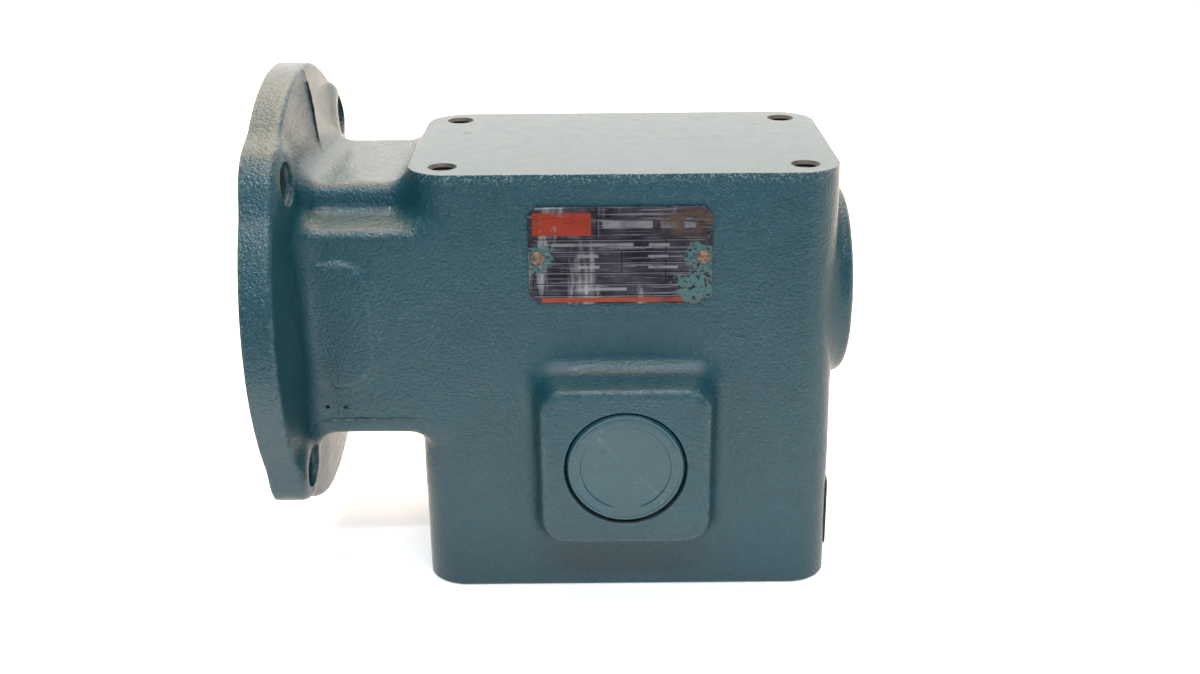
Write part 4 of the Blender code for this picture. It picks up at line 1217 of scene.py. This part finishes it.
# ---------------------------------------------------------------- plate, screws and tag
plate = prism(
    "nameplate_fine", (-33.4, -48.4, 114.2), (30.4, -47.62, 149.4), mat["plate"], 3.0, 1,
    edges=lambda e: abs((e.verts[0].co - e.verts[1].co).normalized().y) > 0.9,
)
bm = bmesh.new()
bm.from_mesh(plate.data)
near_edges = [
    e for e in bm.edges if all(v.co.y < -0.0483 for v in e.verts)
]
bmesh.ops.bevel(bm, geom=near_edges, offset=0.28 * MM, segments=2, profile=0.5, affect="EDGES")
bm.to_mesh(plate.data)
bm.free()
carve(plate, [joined("plate_pins", [rod("pin", "Y", (x, 0, 131.3), -50, -46, 1.5, 24) for x in (-30.4, 27.4)])])
finish_shade(plate, 20.0)
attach(plate, "housing_body")
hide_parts("nameplate")

for side, x in (("left", -30.4), ("right", 27.4)):
    turned(
        "nameplate_screw_" + side, "housing_body", "Y", (x, 0, 131.3),
        [(0, -49.9), (0.9, -49.84), (1.8, -49.5), (2.45, -48.95, 0.2), (2.6, -48.45), (1.1, -48.45), (1.1, -43), (0, -43)],
        mat["screw"], 40, 25.0,
    )

# ---------------------------------------------------------------- finishes of the CAD pieces that stay
KEPT = {
    "input_bearing": "bearing", "rear_bearing": "bearing", "near_bearing": "bearing", "far_bearing": "bearing",
    "near_spacer": "steel_y", "far_spacer": "steel_y", "worm_shaft": "steel", "gear_key": "key",
    "worm_gear_hub": "hub", "worm_gear_rim": "bronze", "carrier_gasket": "paper", "end_face_tag": "rubber",
    "input_retaining_ring": "spring", "rear_retaining_ring": "spring", "shaft_retaining_ring": "spring",
}
for name, obj in nodes.items():
    if obj.hide_render:
        continue
    key = next((v for k, v in KEPT.items() if name.startswith(k)), None)
    if key is None:
        raise RuntimeError("no finish chosen for " + name)
    if not obj.data.materials:
        obj.data.materials.append(None)
    for k in range(len(obj.material_slots)):
        obj.material_slots[k].link = "OBJECT"
        obj.material_slots[k].material = mat[key]

# ---------------------------------------------------------------- floor, light and camera
def camera_lift(tree, surface, strength):
    """Adds a plain glow to a stage surface where it's looked at, so that it stays white behind the object."""
    path = tree.nodes.new("ShaderNodeLightPath")
    glow = tree.nodes.new("ShaderNodeEmission")
    scaled = tree.nodes.new("ShaderNodeMath")
    scaled.operation = "MULTIPLY"
    scaled.inputs[1].default_value = strength
    tree.links.new(path.outputs["Is Camera Ray"], scaled.inputs[0])
    tree.links.new(scaled.outputs[0], glow.inputs["Strength"])
    both = tree.nodes.new("ShaderNodeAddShader")
    tree.links.new(surface, both.inputs[0])
    tree.links.new(glow.outputs[0], both.inputs[1])
    return both.outputs[0]


floor_mat = Tree("studio_floor")
pale = floor_mat.mix(floor_mat.ramp(floor_mat.noise(0.004, 3.0), 0.3, 0.7), (0.86, 0.86, 0.86), (0.90, 0.90, 0.895))
floor_mat.set("Base Color", pale)
floor_mat.set("Roughness", 0.85)
floor_mat.set("Specular IOR Level", 0.2)
floor_mat.link(camera_lift(floor_mat.nt, floor_mat.bsdf.outputs[0], 0.42), floor_mat.out.inputs[0])
floor = object_from(
    "studio_floor",
    [(-9, -9, -0.0004), (9, -9, -0.0004), (9, 9, -0.0004), (-9, 9, -0.0004)],
    [(0, 1, 2, 3)],
    floor_mat.mat,
)

# What the glossy paint sees of the table: bright round the object, fading to a dark room in front. Only
# reflections see it, and it lies level over the floor.
card_mat = bpy.data.materials.new("studio_card")
card_mat.use_nodes = True
ct = card_mat.node_tree
ct.nodes.clear()
c_out = ct.nodes.new("ShaderNodeOutputMaterial")
c_glow = ct.nodes.new("ShaderNodeEmission")
c_coord = ct.nodes.new("ShaderNodeTexCoord")
c_split = ct.nodes.new("ShaderNodeSeparateXYZ")
c_place = ct.nodes.new("ShaderNodeMapRange")
c_place.inputs["From Min"].default_value = -0.50
c_place.inputs["From Max"].default_value = 0.30
c_ramp = ct.nodes.new("ShaderNodeValToRGB")
ramp = c_ramp.color_ramp
for where, level in ((-0.40, 0.0), (-0.30, 0.45), (-0.20, 2.2), (-0.12, 1.8), (-0.06, 0.9), (0.06, 1.3), (0.20, 2.0)):
    place = (where + 0.50) / 0.80
    element = ramp.elements.new(place)
    warm = max(0.0, min(1.0, (where + 0.05) / 0.15))
    element.color = (level, level * (1 - 0.13 * warm), level * (1 - 0.27 * warm), 1)
ramp.elements.remove(ramp.elements[0])
ramp.elements.remove(ramp.elements[len(ramp.elements) - 1])
ct.links.new(c_coord.outputs["Object"], c_split.inputs[0])
ct.links.new(c_split.outputs["Y"], c_place.inputs["Value"])
ct.links.new(c_place.outputs[0], c_ramp.inputs[0])
ct.links.new(c_ramp.outputs[0], c_glow.inputs["Color"])
ct.links.new(c_glow.outputs[0], c_out.inputs[0])
card = object_from(
    "studio_card",
    [(-2.4, -2.4, -0.0002), (2.4, -2.4, -0.0002), (2.4, 2.4, -0.0002), (-2.4, 2.4, -0.0002)],
    [(0, 1, 2, 3)],
    card_mat,
)
card.visible_camera = False
card.visible_shadow = False
card.visible_diffuse = False

world = bpy.data.worlds.new("studio")
bpy.context.scene.world = world
world.use_nodes = True
wt = world.node_tree
wt.nodes.clear()
w_out = wt.nodes.new("ShaderNodeOutputWorld")
w_mix = wt.nodes.new("ShaderNodeMixShader")
w_path = wt.nodes.new("ShaderNodeLightPath")
w_fill = wt.nodes.new("ShaderNodeBackground")
w_seen = wt.nodes.new("ShaderNodeBackground")
w_coord = wt.nodes.new("ShaderNodeTexCoord")
w_split = wt.nodes.new("ShaderNodeSeparateXYZ")
w_level = wt.nodes.new("ShaderNodeMapRange")
w_level.interpolation_type = "SMOOTHSTEP"
w_level.inputs["From Min"].default_value = -0.55
w_level.inputs["From Max"].default_value = 0.75
w_level.inputs["To Min"].default_value = 0.06
w_level.inputs["To Max"].default_value = 0.75
wt.links.new(w_coord.outputs["Generated"], w_split.inputs[0])
wt.links.new(w_split.outputs["Y"], w_level.inputs["Value"])
wt.links.new(w_level.outputs[0], w_fill.inputs[1])
w_fill.inputs[0].default_value = (0.95, 0.98, 1.0, 1)
w_seen.inputs[0].default_value = (1, 1, 1, 1)
w_seen.inputs[1].default_value = 1.1
wt.links.new(w_path.outputs["Is Camera Ray"], w_mix.inputs[0])
wt.links.new(w_fill.outputs[0], w_mix.inputs[1])
wt.links.new(w_seen.outputs[0], w_mix.inputs[2])
wt.links.new(w_mix.outputs[0], w_out.inputs[0])


def softbox(name, at, aim, width, height, radiance, colour):
    light = bpy.data.lights.new(name, "AREA")
    light.shape = "RECTANGLE"
    light.size, light.size_y = width, height
    light.energy = radiance * math.pi * width * height
    light.color = colour
    obj = bpy.data.objects.new(name, light)
    bpy.context.scene.collection.objects.link(obj)
    obj.location = at
    obj.rotation_euler = (Vector(aim) - Vector(at)).to_track_quat("-Z", "Y").to_euler()
    obj.visible_camera = False
    return obj


softbox("backdrop", (0.0, 2.6, 0.95), (0.0, 0.0, 0.40), 6.2, 1.85, 1.20, (1.0, 0.86, 0.75))
softbox("overhead", (0.0, 0.40, 1.20), (0.0, 0.0, 0.1), 1.2, 1.60, 5.2, (1.0, 0.74, 0.50))
softbox("front_strip", (0.05, -0.70, 1.02), (0.0, 0.0, 0.1), 1.1, 0.05, 60.0, (0.88, 0.95, 1.0))
softbox("front_window", (0.0, -1.9, 0.80), (0.0, 0.0, 0.1), 1.9, 0.50, 2.8, (0.80, 0.92, 1.0))

camera_data = bpy.data.cameras.new("camera")
camera_data.sensor_width = 36.0
camera_data.lens = 41.334
camera_data.clip_start, camera_data.clip_end = 0.01, 30.0
camera = bpy.data.objects.new("camera", camera_data)
bpy.context.scene.collection.objects.link(camera)
yaw, pitch, roll = -0.000174, 0.379866, -0.008827
forward = Vector((math.sin(yaw) * math.cos(pitch), math.cos(yaw) * math.cos(pitch), -math.sin(pitch)))
right = Vector((math.cos(yaw), -math.sin(yaw), 0))
up = right.cross(forward)
across = math.cos(roll) * right + math.sin(roll) * up
upward = -math.sin(roll) * right + math.cos(roll) * up
camera.matrix_world = Matrix(
    (
        (across.x, upward.x, -forward.x, -8.74 * MM),
        (across.y, upward.y, -forward.y, -501.19 * MM),
        (across.z, upward.z, -forward.z, 282.54 * MM),
        (0, 0, 0, 1),
    )
)
bpy.context.scene.camera = camera
bpy.context.scene.view_settings.view_transform = "Standard"

for leftover in list(tools.objects):
    bpy.data.objects.remove(leftover, do_unlink=True)
bpy.data.collections.remove(tools)
